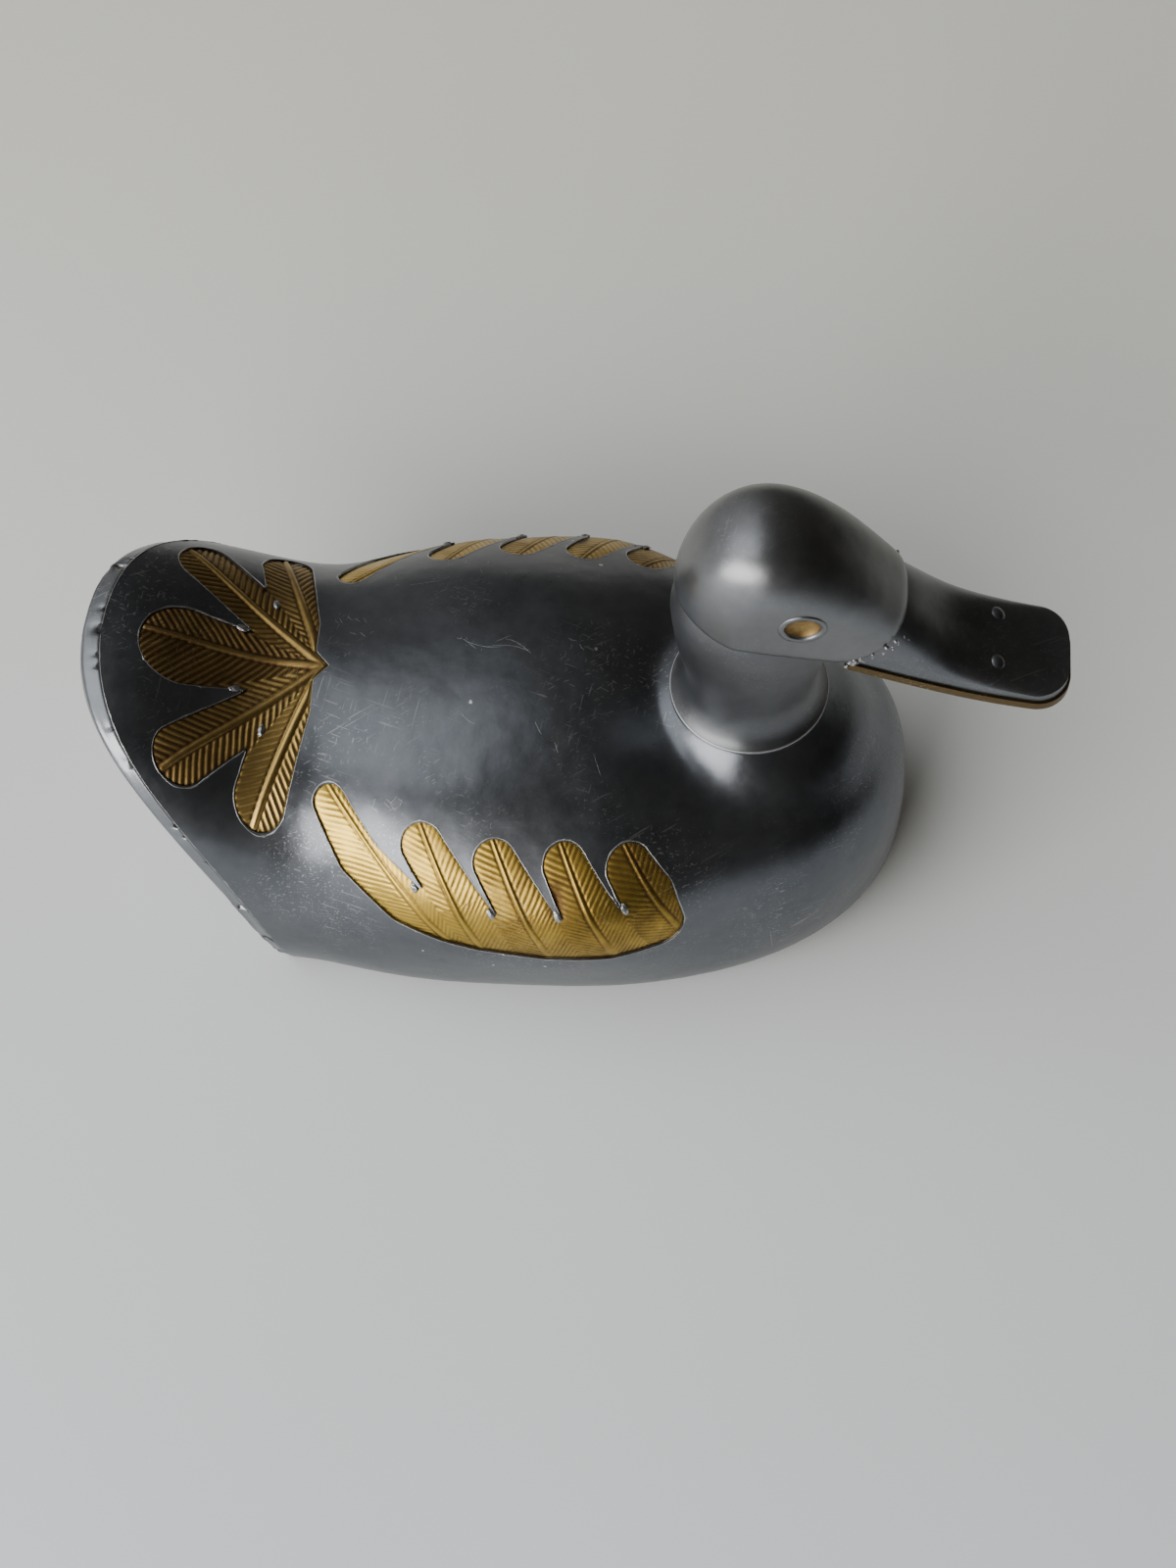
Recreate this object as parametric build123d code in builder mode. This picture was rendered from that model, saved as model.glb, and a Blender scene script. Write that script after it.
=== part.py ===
# Duck figurine: pewter sheet over wooden cores, brass feather inlays,
# and a head that turns on the round seam at the foot of its neck.
# Millimetres, +Z up, +X towards the bill, origin on the table under the body.
import os
from math import atan2, cos, pi, radians, sin

from build123d import *

os.makedirs("parts", exist_ok=True)

# Sheet and fits
sheet = 1.6  # pewter sheet on the body
head_sheet = 1.4  # pewter sheet on the head
sink = 0.5  # how far the brass lies below the pewter
inlay_fit = 0.12  # gap round each inlay
base_sheet = 1.2  # plate under the body
cap_depth = 5.5  # how far the stern cap reaches over the back

# Body form
mid_x = 5.0  # the breast starts to round in here
nose_x = 105.0  # foremost point of the breast
nose_z = 24.0  # height of that point
body_half_width = 58.0
belly_z = 12.0  # height of the greatest width
back_z = 71.0
ramp_x = 23.0  # the back starts to fall towards the tail here
saddle_x = -58.0  # low point between back and tail
saddle_z = 67.3
tail_x = -103.0
tail_z = 79.5
tail_half_width = 49.0
shoulder_x = -30.0  # the flanks start to draw in here
keel_depth = 15.0  # the loft runs on below the table and is cut flat
fullness = 2.5  # exponent of the cross-section
tail_fullness = 3.0  # the same at the tail, where the top is flatter
waist_x = -47.0  # the flanks are hollowed here
waist_reach = 32.0
waist_round = 0.42  # the exponent drops by this at the waist
waist_depth = 1.6  # and the half width by this
breast_fullness = 2.3  # exponent of the breast, seen from above
breast_fall = 2.6  # the same seen from the side
neck_dip = 4.5  # the back is this much lower round the neck
dip_x = 50.0
dip_reach = 36.0
wing_bulge = 6.2  # swelling of the flank under each wing
bulge_rise = 20.0  # degrees above the level where it is greatest
bulge_spread = 32.0  # degrees to where it ends
bulge_back_x = -53.0  # where the swelling starts, is full, fades and ends
bulge_full_x = 13.0
bulge_fade_x = 28.0
bulge_end_x = 60.0
ring_points = 16  # points on each cross-section
station_step = 14.0  # between the cross-sections towards the tail
last_step_x = -16.0  # the last of them before mid_x

# Stern: height, reach behind shoulder_x and spare half width of the closing surface
stern_levels = [
    (-6.0, 33.0, 17.0),
    (30.0, 53.0, 17.0),
    (55.0, 71.0, 9.0),
    (72.0, 78.5, 5.0),
    (92.0, 69.0, 6.0),
]

# Wing feathers: circles from tip to root as (along, up, radius) in the wing plane
wing_lean = 25.0  # the wing plane looks this far above the level
wing_near = 40.0  # reach of the wing prism from the middle plane
wing_far = 85.0
wing_feathers = [
    [(-42.6, 37.0, 4.4), (-34.4, 25.0, 6.0), (-22.0, 15.2, 6.4), (-10.8, 11.6, 6.8)],
    [(-18.4, 31.0, 5.6), (-2.2, 9.6, 6.7)],
    [(0.2, 28.9, 5.6), (13.9, 8.8, 7.4)],
    [(17.8, 29.3, 5.5), (29.8, 9.4, 7.6)],
    [(34.0, 28.8, 5.7), (39.0, 21.6, 6.6), (40.6, 12.6, 8.0)],
]

# Tail fan: tip and root of three lobes as (x, y, radius), then mirrored
fan_near = 47.0  # reach of the fan prism above the table, clear of the stern
fan_far = 100.0
fan_point_x = -45.5
fan_tips = [(-82.2, 0.0, 11.2), (-80.2, 28.5, 7.0), (-60.5, 34.6, 6.5)]
fan_roots = [(-60.0, 0.0, 7.6), (-61.5, 13.0, 6.0), (-55.2, 12.5, 6.0)]

# Neck joint
neck_x = 62.0
seat_z = 69.0  # top of the bright ring on the body
ring_radius = 20.0
ring_height = 1.0
ring_room = 1.0  # clear width round the ring
# Flare from the ring into the breast: distance outside the ring, depth below the seat
mound_flare = [(1.5, 3.0), (5.0, 6.4), (10.0, 12.0), (14.0, 18.5), (16.5, 26.0)]
neck_gap = 0.3  # between the turning neck and the ring
bolt_radius = 4.0
run_fit = 0.05
bush_radius = 6.5
bush_length = 23.0
flange_radius = 12.0
flange_height = 2.0
flange_gap = 0.4  # between the flange and the bright ring
washer_radius = 11.0
washer_height = 1.0
well_radius = 12.0  # clearance hole below the bush
bolt_reach = 32.0  # how far the bolt goes up into the head
bolt_end = 3.3  # how far it stands out of the nut
nut_flats = 13.0
nut_height = 6.5
lock_rim = 2.6  # width of the spring washer's ring
lock_height = 1.6
lock_slit = 1.0
flat_height = 1.5
flat_radius = 9.0

# Head: places are measured ahead of the middle of the seat and above it
head_middle = (2.0, 46.0)
head_half_length = 22.6  # from the middle of the head to its back
head_half_width = 18.5
head_half_height = 30.2
head_fullness = 2.9  # exponent of the head's cross-section
root_middle = (41.0, 34.6)  # the forehead runs out here
root_half_width = 12.8
root_half_height = 8.4
cheek = (5.0, 39.0)  # point on the flat cheeks
cheek_cut = 2.2  # how deep they are cut into the head there
cheek_yaw = 5.0
cheek_lean = -2.0
jaw = (5.0, 40.0)  # point on the lower edge of the cheeks
jaw_slope = 17.5
seam = (22.5, 33.0)  # lower corner of the bill seam
seam_slope = 46.0
eye_middle = (11.0, 54.0)
eye_radius = 6.0
eye_rim = 0.9
eye_tube = 4.8
eye_bore = 4.1
eye_depth = 5.0
eye_floor = 1.0

# Neck: height above the seat, half length, half width of each level
neck_levels = [
    (3.5, 17.6, 17.6),
    (8.0, 16.4, 16.3),
    (15.0, 17.4, 16.0),
    (23.0, 19.2, 16.2),
    (32.0, 20.4, 16.3),
    (41.0, 20.8, 15.8),
    (50.0, 18.8, 13.5),
]

# Bill, measured from the middle of the seat too
bill_half_width = 13.3
bill_tip = 78.7
bill_corner = 9.0
bill_spare = 0.4  # the loft is this much wider and is trimmed to the outline
brass_height = 2.6
brass_lip = 0.6  # the brass shows this far round the pewter
# Distance ahead, top, line where pewter meets brass, squareness of the cross-section
bill_stations = [
    (18.0, 57.0, 37.2, 2.6),
    (30.0, 52.4, 32.6, 2.6),
    (37.0, 47.2, 30.0, 2.7),
    (44.0, 40.2, 27.5, 2.8),
    (51.0, 34.2, 25.2, 3.1),
    (59.5, 29.3, 22.9, 3.5),
    (69.0, 25.5, 21.0, 4.0),
    (81.0, 22.6, 19.6, 4.0),
]
nostril = (59.5, 26.6)
nostril_side = 6.8  # to each side of the middle
nostril_radius = 3.0

# Screws of the base plate, x and y
screw_places = [(-42.0, 30.0), (-42.0, -30.0), (48.0, 30.0), (48.0, -30.0)]
screw_head = 3.2
screw_radius = 1.6
screw_length = 14.0
screw_sink = 0.2
slot_length = 5.0
slot_width = 0.8

block = 400.0  # side of the blocks that cut, longer than the duck
ring_bore = flange_radius + flange_gap
bush_foot_z = seat_z - bush_length
bolt_top_z = seat_z + bolt_reach
upward = (Align.CENTER, Align.CENTER, Align.MIN)
downward = (Align.CENTER, Align.CENTER, Align.MAX)


def ease(t):
    """Smooth step from 0 to 1."""
    t = min(max(t, 0.0), 1.0)
    return t * t * (3 - 2 * t)


def power(value, exponent):
    """Power that keeps the sign."""
    return abs(value) ** exponent * (1 if value > 0 else -1)


def from_seat(ahead, above):
    """x and z of a place measured from the middle of the seat."""
    return neck_x + ahead, seat_z + above


def rounded_ring(x, half_width, middle, half_height, exponent):
    """Face across X at x: an ellipse made squarer by its exponent."""
    points = []
    for i in range(ring_points):
        angle = 2 * pi * i / ring_points - pi / 2
        y = half_width * power(cos(angle), 2 / exponent)
        points.append((y, middle + half_height * power(sin(angle), 2 / exponent)))
    with BuildSketch(Plane.YZ.offset(x)) as ring:
        with BuildLine():
            Spline(*points, periodic=True)
        make_face()
    return ring.sketch.faces()[0]


def body_ring(x, inset):
    """Points (y, z) of the body's cross-section at x."""
    t = max(0.0, (x - mid_x) / (nose_x - inset - mid_x))
    drawn = ease((shoulder_x - x) / (shoulder_x - tail_x))
    half_width = body_half_width - inset - (body_half_width - tail_half_width) * drawn
    hollow = ease(1 - abs(x - waist_x) / waist_reach)
    half_width -= waist_depth * hollow
    crest = back_z - inset - (back_z - saddle_z) * ease((ramp_x - x) / (ramp_x - saddle_x))
    crest += (tail_z - saddle_z) * ease((saddle_x - x) / (saddle_x - tail_x))
    middle = belly_z + (nose_z - belly_z) * t**2
    half_width *= (1 - t**breast_fullness) ** (1 / breast_fullness)
    rise = (crest - middle) * (1 - t**breast_fall) ** (1 / breast_fall)
    drop = (middle + keel_depth) * (1 - t**4) ** 0.25
    bulge = wing_bulge * ease((x - bulge_back_x) / (bulge_full_x - bulge_back_x))
    bulge *= ease((bulge_end_x - x) / (bulge_end_x - bulge_fade_x))
    dip = neck_dip * ease(1 - abs(x - dip_x) / dip_reach)
    exponent = fullness + (tail_fullness - fullness) * drawn**2 - waist_round * hollow
    roundness = 2 / exponent
    points = []
    for i in range(ring_points):
        angle = 2 * pi * i / ring_points - pi / 2
        side = power(cos(angle), roundness)
        height = power(sin(angle), roundness)
        steep = atan2(sin(angle), abs(cos(angle)))
        swell = bulge * ease(1 - abs(steep - radians(bulge_rise)) / radians(bulge_spread))
        y = half_width * side + 0.8 * swell * (1 if side > 0 else -1)
        z = middle + height * (rise if height > 0 else drop) + 0.6 * swell
        z -= dip * max(height, 0) ** 4
        points.append((y, z))
    return points


def stern_block(inset):
    """Everything behind the closing surface of the stern."""
    foot = stern_levels[0][0]
    with BuildPart() as kept:
        for level, reach, spare in stern_levels:
            with BuildSketch(Plane.XY.offset(level)):
                with Locations((shoulder_x, 0)):
                    Ellipse(reach - inset, body_half_width + spare)
        loft()
    with BuildPart() as behind:
        with Locations((shoulder_x, 0, foot)):
            Box(block, block, stern_levels[-1][0] - foot, align=(Align.MAX, Align.CENTER, Align.MIN))
        add(kept.part, mode=Mode.SUBTRACT)
    return behind.part


def body_skin(inset):
    """Solid body, drawn in by inset, cut flat on the table and at the stern."""
    places = [tail_x - 15 + station_step * i for i in range(7)] + [last_step_x, mid_x]
    for degrees in (14, 28, 42, 55, 67, 78, 86):
        places.append(mid_x + (nose_x - inset - mid_x) * sin(radians(degrees)))
    rings = []
    for x in places:
        with BuildSketch(Plane.YZ.offset(x)) as ring:
            with BuildLine():
                Spline(*body_ring(x, inset), periodic=True)
            make_face()
        rings.append(ring.sketch.faces()[0])
    rings.append(Vertex(nose_x - inset, 0, nose_z))
    flare = [(ring_radius, seat_z - ring_height)]
    flare += [(ring_radius + out, seat_z - depth) for out, depth in mound_flare]
    with BuildPart() as solid:
        loft(sections=rings)
        with BuildSketch(Plane.XZ.shift_origin((neck_x, 0, 0))):
            with BuildLine():
                Spline(*[(radius - inset, z) for radius, z in flare])
                Polyline(
                    (flare[-1][0] - inset, flare[-1][1]),
                    (0, flare[-1][1]),
                    (0, flare[0][1]),
                    (flare[0][0] - inset, flare[0][1]),
                )
            make_face()
        revolve(axis=Axis((neck_x, 0, 0), (0, 0, 1)))
        with Locations((neck_x, 0, seat_z - ring_height)):
            Cylinder(ring_radius + ring_room, block, align=upward, mode=Mode.SUBTRACT)
        Box(block, block, block, align=downward, mode=Mode.SUBTRACT)
        add(stern_block(inset), mode=Mode.SUBTRACT)
    return solid.part


def wing_prism(gap):
    """Prism of the right wing's outline, drawn in by gap."""
    lean = radians(wing_lean)
    plane = Plane((0, 0, 0), x_dir=(1, 0, 0), z_dir=(0, -cos(lean), sin(lean)))
    roots = [circles[-1] for circles in wing_feathers]
    strips = list(zip(roots, roots[1:]))
    for circles in wing_feathers:
        strips += zip(circles, circles[1:])
    with BuildPart() as prism:
        with BuildSketch(plane.offset(wing_near)):
            for first, last in strips:
                with BuildSketch(plane.offset(wing_near), mode=Mode.PRIVATE) as strip:
                    with Locations(first[:2]):
                        Circle(first[2] - gap)
                    with Locations(last[:2]):
                        Circle(last[2] - gap)
                    make_hull()
                add(strip.sketch_local)
        extrude(amount=wing_far - wing_near)
    return prism.part


def fan_prism(gap):
    """Prism of the tail fan's outline, drawn in by gap."""
    lobes = []
    for tip, root in zip(fan_tips, fan_roots):
        for side in (1, -1):
            if tip[1] > 0 or side > 0:
                lobes.append((tip, root, side))
    with BuildPart() as prism:
        with BuildSketch(Plane.XY.offset(fan_near)):
            for tip, root, side in lobes:
                with BuildSketch(mode=Mode.PRIVATE) as lobe:
                    with Locations((tip[0], side * tip[1])):
                        Circle(tip[2] - gap)
                    with Locations((root[0], side * root[1])):
                        Circle(root[2] - gap)
                    make_hull()
                add(lobe.sketch)
            front_x = fan_roots[2][0] + fan_roots[2][2] - gap
            front_y = fan_roots[2][1]
            with BuildLine():
                Polyline(
                    (fan_point_x - gap, 0),
                    (front_x, front_y / 3),
                    (front_x, front_y),
                    (fan_roots[0][0], front_y),
                    (fan_roots[0][0], -front_y),
                    (front_x, -front_y),
                    (front_x, -front_y / 3),
                    close=True,
                )
            make_face()
        extrude(amount=fan_far - fan_near)
    return prism.part


def cheek_plane(side, out):
    """Plane of a cheek, looking outwards: side 1 is the right cheek."""
    yaw = radians(cheek_yaw)
    lean = radians(cheek_lean)
    look = Vector(sin(yaw) * cos(lean), -side * cos(yaw) * cos(lean), sin(lean))
    x, z = from_seat(*cheek)
    place = Vector(x, -side * (head_half_width - cheek_cut), z) + look * out
    return Plane(place, x_dir=(0, 0, 1), z_dir=look)


def seam_plane(out):
    """Plane between head and bill, looking towards the bill."""
    tilt = radians(seam_slope)
    look = Vector(sin(tilt), 0, -cos(tilt))
    x, z = from_seat(*seam)
    return Plane(Vector(x, 0, z) + look * out, x_dir=(0, 1, 0), z_dir=look)


def eye_plane(side):
    """Plane of an eye, on the cheek."""
    plane = cheek_plane(side, 0)
    look = plane.z_dir
    x, z = from_seat(*eye_middle)
    away = look.X * (x - plane.origin.X) + look.Z * (z - plane.origin.Z)
    return Plane((x, plane.origin.Y - away / look.Y, z), x_dir=(0, 0, 1), z_dir=look)


def head_ball(inset):
    """Crown, forehead and cheeks, drawn in by inset."""
    half_length = head_half_length - inset
    half_width = head_half_width - inset
    half_height = head_half_height - inset
    head_x, head_z = from_seat(*head_middle)
    root_x, root_z = from_seat(*root_middle)
    rings = [Vertex(head_x - half_length, 0, head_z)]
    for degrees in (84, 72, 58, 42, 22, 0):
        size = cos(radians(degrees))
        x = head_x - half_length * sin(radians(degrees))
        rings.append(rounded_ring(x, half_width * size, head_z, half_height * size, head_fullness))
    for t in (0.25, 0.5, 0.75, 1.0):
        run = ease(t / 2) * 2
        x = head_x + t * (root_x - head_x)
        middle = head_z + (root_z - head_z) * run
        wide = half_width + (root_half_width - inset - half_width) * run
        tall = half_height + (root_half_height - inset - half_height) * run
        rings.append(rounded_ring(x, wide, middle, tall, head_fullness))
    jaw_x, jaw_z = from_seat(*jaw)
    down = Plane(
        (jaw_x, 0, jaw_z + inset),
        x_dir=(0, 1, 0),
        z_dir=(-sin(radians(jaw_slope)), 0, -cos(radians(jaw_slope))),
    )
    with BuildPart() as ball:
        loft(sections=rings)
        for side in (1, -1):
            with Locations(cheek_plane(side, -inset)):
                Box(block, block, block, align=upward, mode=Mode.SUBTRACT)
        with Locations(down, seam_plane(-inset)):
            Box(block, block, block, align=upward, mode=Mode.SUBTRACT)
    return ball.part


def neck_post(inset):
    """Neck from the seam up into the head, drawn in by inset."""
    levels = [(neck_gap, ring_radius, ring_radius)] + neck_levels
    with BuildPart() as post:
        for level, half_length, half_width in levels:
            with BuildSketch(Plane.XY.offset(seat_z + level)):
                with Locations((neck_x, 0)):
                    Ellipse(half_length - inset, half_width - inset)
        loft()
    return post.part


def bill_outline(grow):
    """Upright block with the bill's outline seen from above, ahead of the seam."""
    with BuildPart() as outline:
        with BuildSketch(Plane.XY.offset(seat_z)) as plan:
            with Locations((neck_x + bill_tip + grow, 0)):
                Rectangle(bill_tip, 2 * (bill_half_width + grow), align=(Align.MAX, Align.CENTER))
            fillet(plan.vertices().group_by(Axis.X)[-1], bill_corner + grow)
        extrude(amount=block)
        with Locations(seam_plane(0)):
            Box(block, block, block, align=downward, mode=Mode.SUBTRACT)
        add(post, mode=Mode.SUBTRACT)
    return outline.part


def bill_below(drop):
    """Slab under the line where pewter and brass meet, lowered by drop."""
    line = [from_seat(ahead, split - drop) for ahead, top, split, edge in bill_stations]
    with BuildPart() as slab:
        with BuildSketch(Plane.XZ):
            with BuildLine():
                Spline(*line)
                Polyline(line[-1], (line[-1][0], 0), (line[0][0], 0), line[0])
            make_face()
        extrude(amount=block / 2, both=True)
    return slab.part


def bill_loft():
    """Rounded bill from the forehead to the tip, before it is trimmed."""
    rings = []
    for ahead, top, split, edge in bill_stations:
        x, middle = from_seat(ahead, split)
        rings.append(rounded_ring(x, bill_half_width + bill_spare, middle, top - split, edge))
    with BuildPart() as solid:
        loft(sections=rings)
    return solid.part


def save(piece, name):
    """Label a piece and write its file."""
    piece.part.label = name
    export_step(piece.part, "parts/" + name + ".step")


outer = body_skin(0)
recess = body_skin(sink)
inner = body_skin(sheet)
behind = stern_block(cap_depth)
wing_hole = wing_prism(0)
fan_hole = fan_prism(0)
ball = head_ball(0)
core_ball = head_ball(head_sheet)
post = neck_post(0)
core_post = neck_post(head_sheet)

# Fixed body
with BuildPart() as body_core:
    add(inner)
    Box(block, block, 2 * base_sheet, mode=Mode.SUBTRACT)
    with Locations((neck_x, 0, 0)):
        Cylinder(well_radius, bush_foot_z, align=upward, mode=Mode.SUBTRACT)
        Cylinder(bush_radius, seat_z, align=upward, mode=Mode.SUBTRACT)
    with Locations((neck_x, 0, seat_z - flange_height)):
        Cylinder(flange_radius, block, align=upward, mode=Mode.SUBTRACT)
    with Locations(*[(x, y, 0) for x, y in screw_places]):
        Cylinder(screw_radius, screw_sink + screw_length, align=upward, mode=Mode.SUBTRACT)
save(body_core, "body_core")

with BuildPart() as base_plate:
    add(inner)
    with Locations((0, 0, base_sheet)):
        Box(block, block, block, align=upward, mode=Mode.SUBTRACT)
    with Locations(*[(x, y, 0) for x, y in screw_places]):
        Cylinder(screw_head, screw_sink, align=upward, mode=Mode.SUBTRACT)
        Cylinder(screw_radius, block, mode=Mode.SUBTRACT)
    with Locations(*[(x, y, screw_sink) for x, y in screw_places]):
        Cone(screw_head, screw_radius, base_sheet - screw_sink, align=upward, mode=Mode.SUBTRACT)
save(base_plate, "base_plate")

for number, place in enumerate(screw_places, 1):
    with BuildPart() as base_screw:
        with Locations((place[0], place[1], screw_sink)):
            Cone(screw_head, screw_radius, base_sheet - screw_sink, align=upward)
            Cylinder(screw_radius, screw_length, align=upward)
            Box(slot_length, slot_width, slot_width, mode=Mode.SUBTRACT)
    save(base_screw, "base_screw_" + str(number))

with BuildPart() as back_shell:
    add(outer)
    add(inner, mode=Mode.SUBTRACT)
    add(behind, mode=Mode.SUBTRACT)
    add(wing_hole, mode=Mode.SUBTRACT)
    add(mirror(wing_hole, about=Plane.XZ), mode=Mode.SUBTRACT)
    add(fan_hole, mode=Mode.SUBTRACT)
save(back_shell, "back_shell")

with BuildPart() as stern_plate:
    add(outer)
    add(inner, mode=Mode.SUBTRACT)
    add(behind, mode=Mode.INTERSECT)
save(stern_plate, "stern_plate")

with BuildPart() as wing_inlay_right:
    add(recess)
    add(wing_prism(inlay_fit), mode=Mode.INTERSECT)
    add(inner, mode=Mode.SUBTRACT)
save(wing_inlay_right, "wing_inlay_right")

with BuildPart() as wing_inlay_left:
    add(mirror(wing_inlay_right.part, about=Plane.XZ))
save(wing_inlay_left, "wing_inlay_left")

with BuildPart() as tail_fan_inlay:
    add(recess)
    add(fan_prism(inlay_fit), mode=Mode.INTERSECT)
    add(inner, mode=Mode.SUBTRACT)
save(tail_fan_inlay, "tail_fan_inlay")

with BuildPart() as seat_ring:
    with Locations((neck_x, 0, seat_z)):
        Cylinder(ring_radius, ring_height, align=downward)
        Cylinder(ring_bore, ring_height, align=downward, mode=Mode.SUBTRACT)
save(seat_ring, "seat_ring")

with BuildPart() as neck_bush:
    with Locations((neck_x, 0, seat_z)):
        Cylinder(bush_radius, seat_z - bush_foot_z, align=downward)
        Cylinder(flange_radius, flange_height, align=downward)
        Cylinder(bolt_radius + run_fit, block, mode=Mode.SUBTRACT)
save(neck_bush, "neck_bush")

with BuildPart() as thrust_washer:
    with Locations((neck_x, 0, seat_z)):
        Cylinder(washer_radius, washer_height, align=upward)
        Cylinder(bolt_radius + neck_gap, block, mode=Mode.SUBTRACT)
save(thrust_washer, "thrust_washer")

# Head, all turning together
with BuildPart() as head_core:
    add(core_post)
    add(core_ball)
    with Locations((neck_x, 0, seat_z + washer_height + run_fit)):
        Cylinder(washer_radius + neck_gap, block, align=downward, mode=Mode.SUBTRACT)
    with Locations((neck_x, 0, bolt_top_z)):
        Cylinder(bolt_radius, block, align=downward, mode=Mode.SUBTRACT)
    for side in (1, -1):
        with Locations(eye_plane(side)):
            Cylinder(eye_tube, 2 * eye_depth, mode=Mode.SUBTRACT)
save(head_core, "head_core")

with BuildPart() as head_shell:
    add(ball)
    add(core_ball, mode=Mode.SUBTRACT)
    add(core_post, mode=Mode.SUBTRACT)
    for side in (1, -1):
        with Locations(eye_plane(side)):
            Cylinder(eye_tube, 2 * eye_depth, mode=Mode.SUBTRACT)
save(head_shell, "head_shell")

with BuildPart() as neck_sleeve:
    add(post)
    add(core_post, mode=Mode.SUBTRACT)
    add(core_ball, mode=Mode.SUBTRACT)
    add(ball, mode=Mode.SUBTRACT)
save(neck_sleeve, "neck_sleeve")

with BuildPart() as bill_upper:
    add(bill_loft())
    add(bill_below(0), mode=Mode.SUBTRACT)
    add(bill_outline(0), mode=Mode.INTERSECT)
    nostril_x, nostril_z = from_seat(*nostril)
    with Locations((nostril_x, nostril_side, nostril_z), (nostril_x, -nostril_side, nostril_z)):
        Sphere(nostril_radius)
save(bill_upper, "bill_upper")

with BuildPart() as bill_lower:
    add(bill_below(0))
    add(bill_below(brass_height), mode=Mode.SUBTRACT)
    add(bill_outline(brass_lip), mode=Mode.INTERSECT)
save(bill_lower, "bill_lower")

for side, name in ((1, "eye_right"), (-1, "eye_left")):
    with BuildPart() as eye:
        with Locations(eye_plane(side)):
            Cylinder(eye_radius, eye_rim, align=upward)
            Cylinder(eye_tube, eye_depth, align=downward)
            Cylinder(eye_bore, 2 * (eye_depth - eye_floor), mode=Mode.SUBTRACT)
    save(eye, name)

# Under the bush: flat washer, spring washer and nut on the bolt
flat_z = bush_foot_z - 2 * run_fit
lock_z = flat_z - flat_height
nut_z = lock_z - lock_height
bolt_foot_z = nut_z - nut_height - bolt_end

with BuildPart() as pivot_bolt:
    with Locations((neck_x, 0, bolt_foot_z)):
        Cylinder(bolt_radius, bolt_top_z - bolt_foot_z, align=upward)
save(pivot_bolt, "pivot_bolt")

with BuildPart() as flat_washer:
    with Locations((neck_x, 0, flat_z)):
        Cylinder(flat_radius, flat_height, align=downward)
        Cylinder(bolt_radius, block, mode=Mode.SUBTRACT)
save(flat_washer, "flat_washer")

with BuildPart() as spring_washer:
    with Locations((neck_x, 0, lock_z)):
        Cylinder(bolt_radius + lock_rim, lock_height, align=downward)
        Cylinder(bolt_radius, block, mode=Mode.SUBTRACT)
    with Locations((neck_x, 0, lock_z)):
        Box(block, lock_slit, block, align=(Align.MIN, Align.CENTER, Align.CENTER), mode=Mode.SUBTRACT)
save(spring_washer, "spring_washer")

with BuildPart() as pivot_nut:
    with BuildSketch(Plane.XY.offset(nut_z)):
        with Locations((neck_x, 0)):
            RegularPolygon(nut_flats / 2, 6, major_radius=False)
            Circle(bolt_radius, mode=Mode.SUBTRACT)
    extrude(amount=-nut_height)
save(pivot_nut, "pivot_nut")
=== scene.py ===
# %% [markdown]
# # A duck clad in pewter and brass
# This lesson dresses a duck whose solids come from a CAD program: wood under thin pewter
# sheet, with embossed brass feathers let into wings and tail, and a head that turns on
# the seam at the foot of the neck. CAD solids of the right shape get a finish made of
# nodes. The small things that a silversmith's hands leave behind are modelled: ribs,
# barbs, burrs, solder and scratches.

# %% Load the frame
import bpy
import bmesh
import math
import random
import numpy as np
from mathutils import Matrix, Vector, noise
from mathutils.bvhtree import BVHTree


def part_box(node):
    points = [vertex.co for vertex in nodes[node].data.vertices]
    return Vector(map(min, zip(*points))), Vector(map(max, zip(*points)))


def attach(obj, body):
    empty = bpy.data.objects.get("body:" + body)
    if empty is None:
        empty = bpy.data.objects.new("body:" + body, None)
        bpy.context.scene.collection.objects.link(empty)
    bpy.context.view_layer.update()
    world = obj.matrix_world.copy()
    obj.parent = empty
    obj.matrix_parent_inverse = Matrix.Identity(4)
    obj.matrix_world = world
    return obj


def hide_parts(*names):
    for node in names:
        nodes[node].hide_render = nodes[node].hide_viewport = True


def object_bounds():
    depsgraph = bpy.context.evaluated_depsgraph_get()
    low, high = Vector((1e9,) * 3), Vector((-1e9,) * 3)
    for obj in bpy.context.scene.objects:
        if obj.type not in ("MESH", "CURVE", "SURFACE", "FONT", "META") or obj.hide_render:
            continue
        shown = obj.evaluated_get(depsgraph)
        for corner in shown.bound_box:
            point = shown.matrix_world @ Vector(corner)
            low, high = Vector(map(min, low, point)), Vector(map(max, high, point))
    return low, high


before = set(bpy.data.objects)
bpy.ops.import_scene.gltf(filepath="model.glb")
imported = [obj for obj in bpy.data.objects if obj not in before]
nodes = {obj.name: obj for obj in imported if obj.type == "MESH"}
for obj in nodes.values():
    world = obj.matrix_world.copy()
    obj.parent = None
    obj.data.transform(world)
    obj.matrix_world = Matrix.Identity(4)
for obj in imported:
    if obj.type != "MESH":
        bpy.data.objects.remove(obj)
cad_low, cad_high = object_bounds()
MM = 0.001


def add_object(name, data):
    """Put a new object into the scene."""
    thing = bpy.data.objects.new(name, data)
    bpy.context.scene.collection.objects.link(thing)
    return thing


print("CAD box", [round(v, 4) for v in cad_low], [round(v, 4) for v in cad_high])

# %% [markdown]
# ## Camera
# The picture was taken from above, on the duck's right side, with a long lens. In a
# frame of 1200 by 1600 pixels the focal length is 3500 pixels, which becomes a lens
# length once the sensor's height is fixed.

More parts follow.
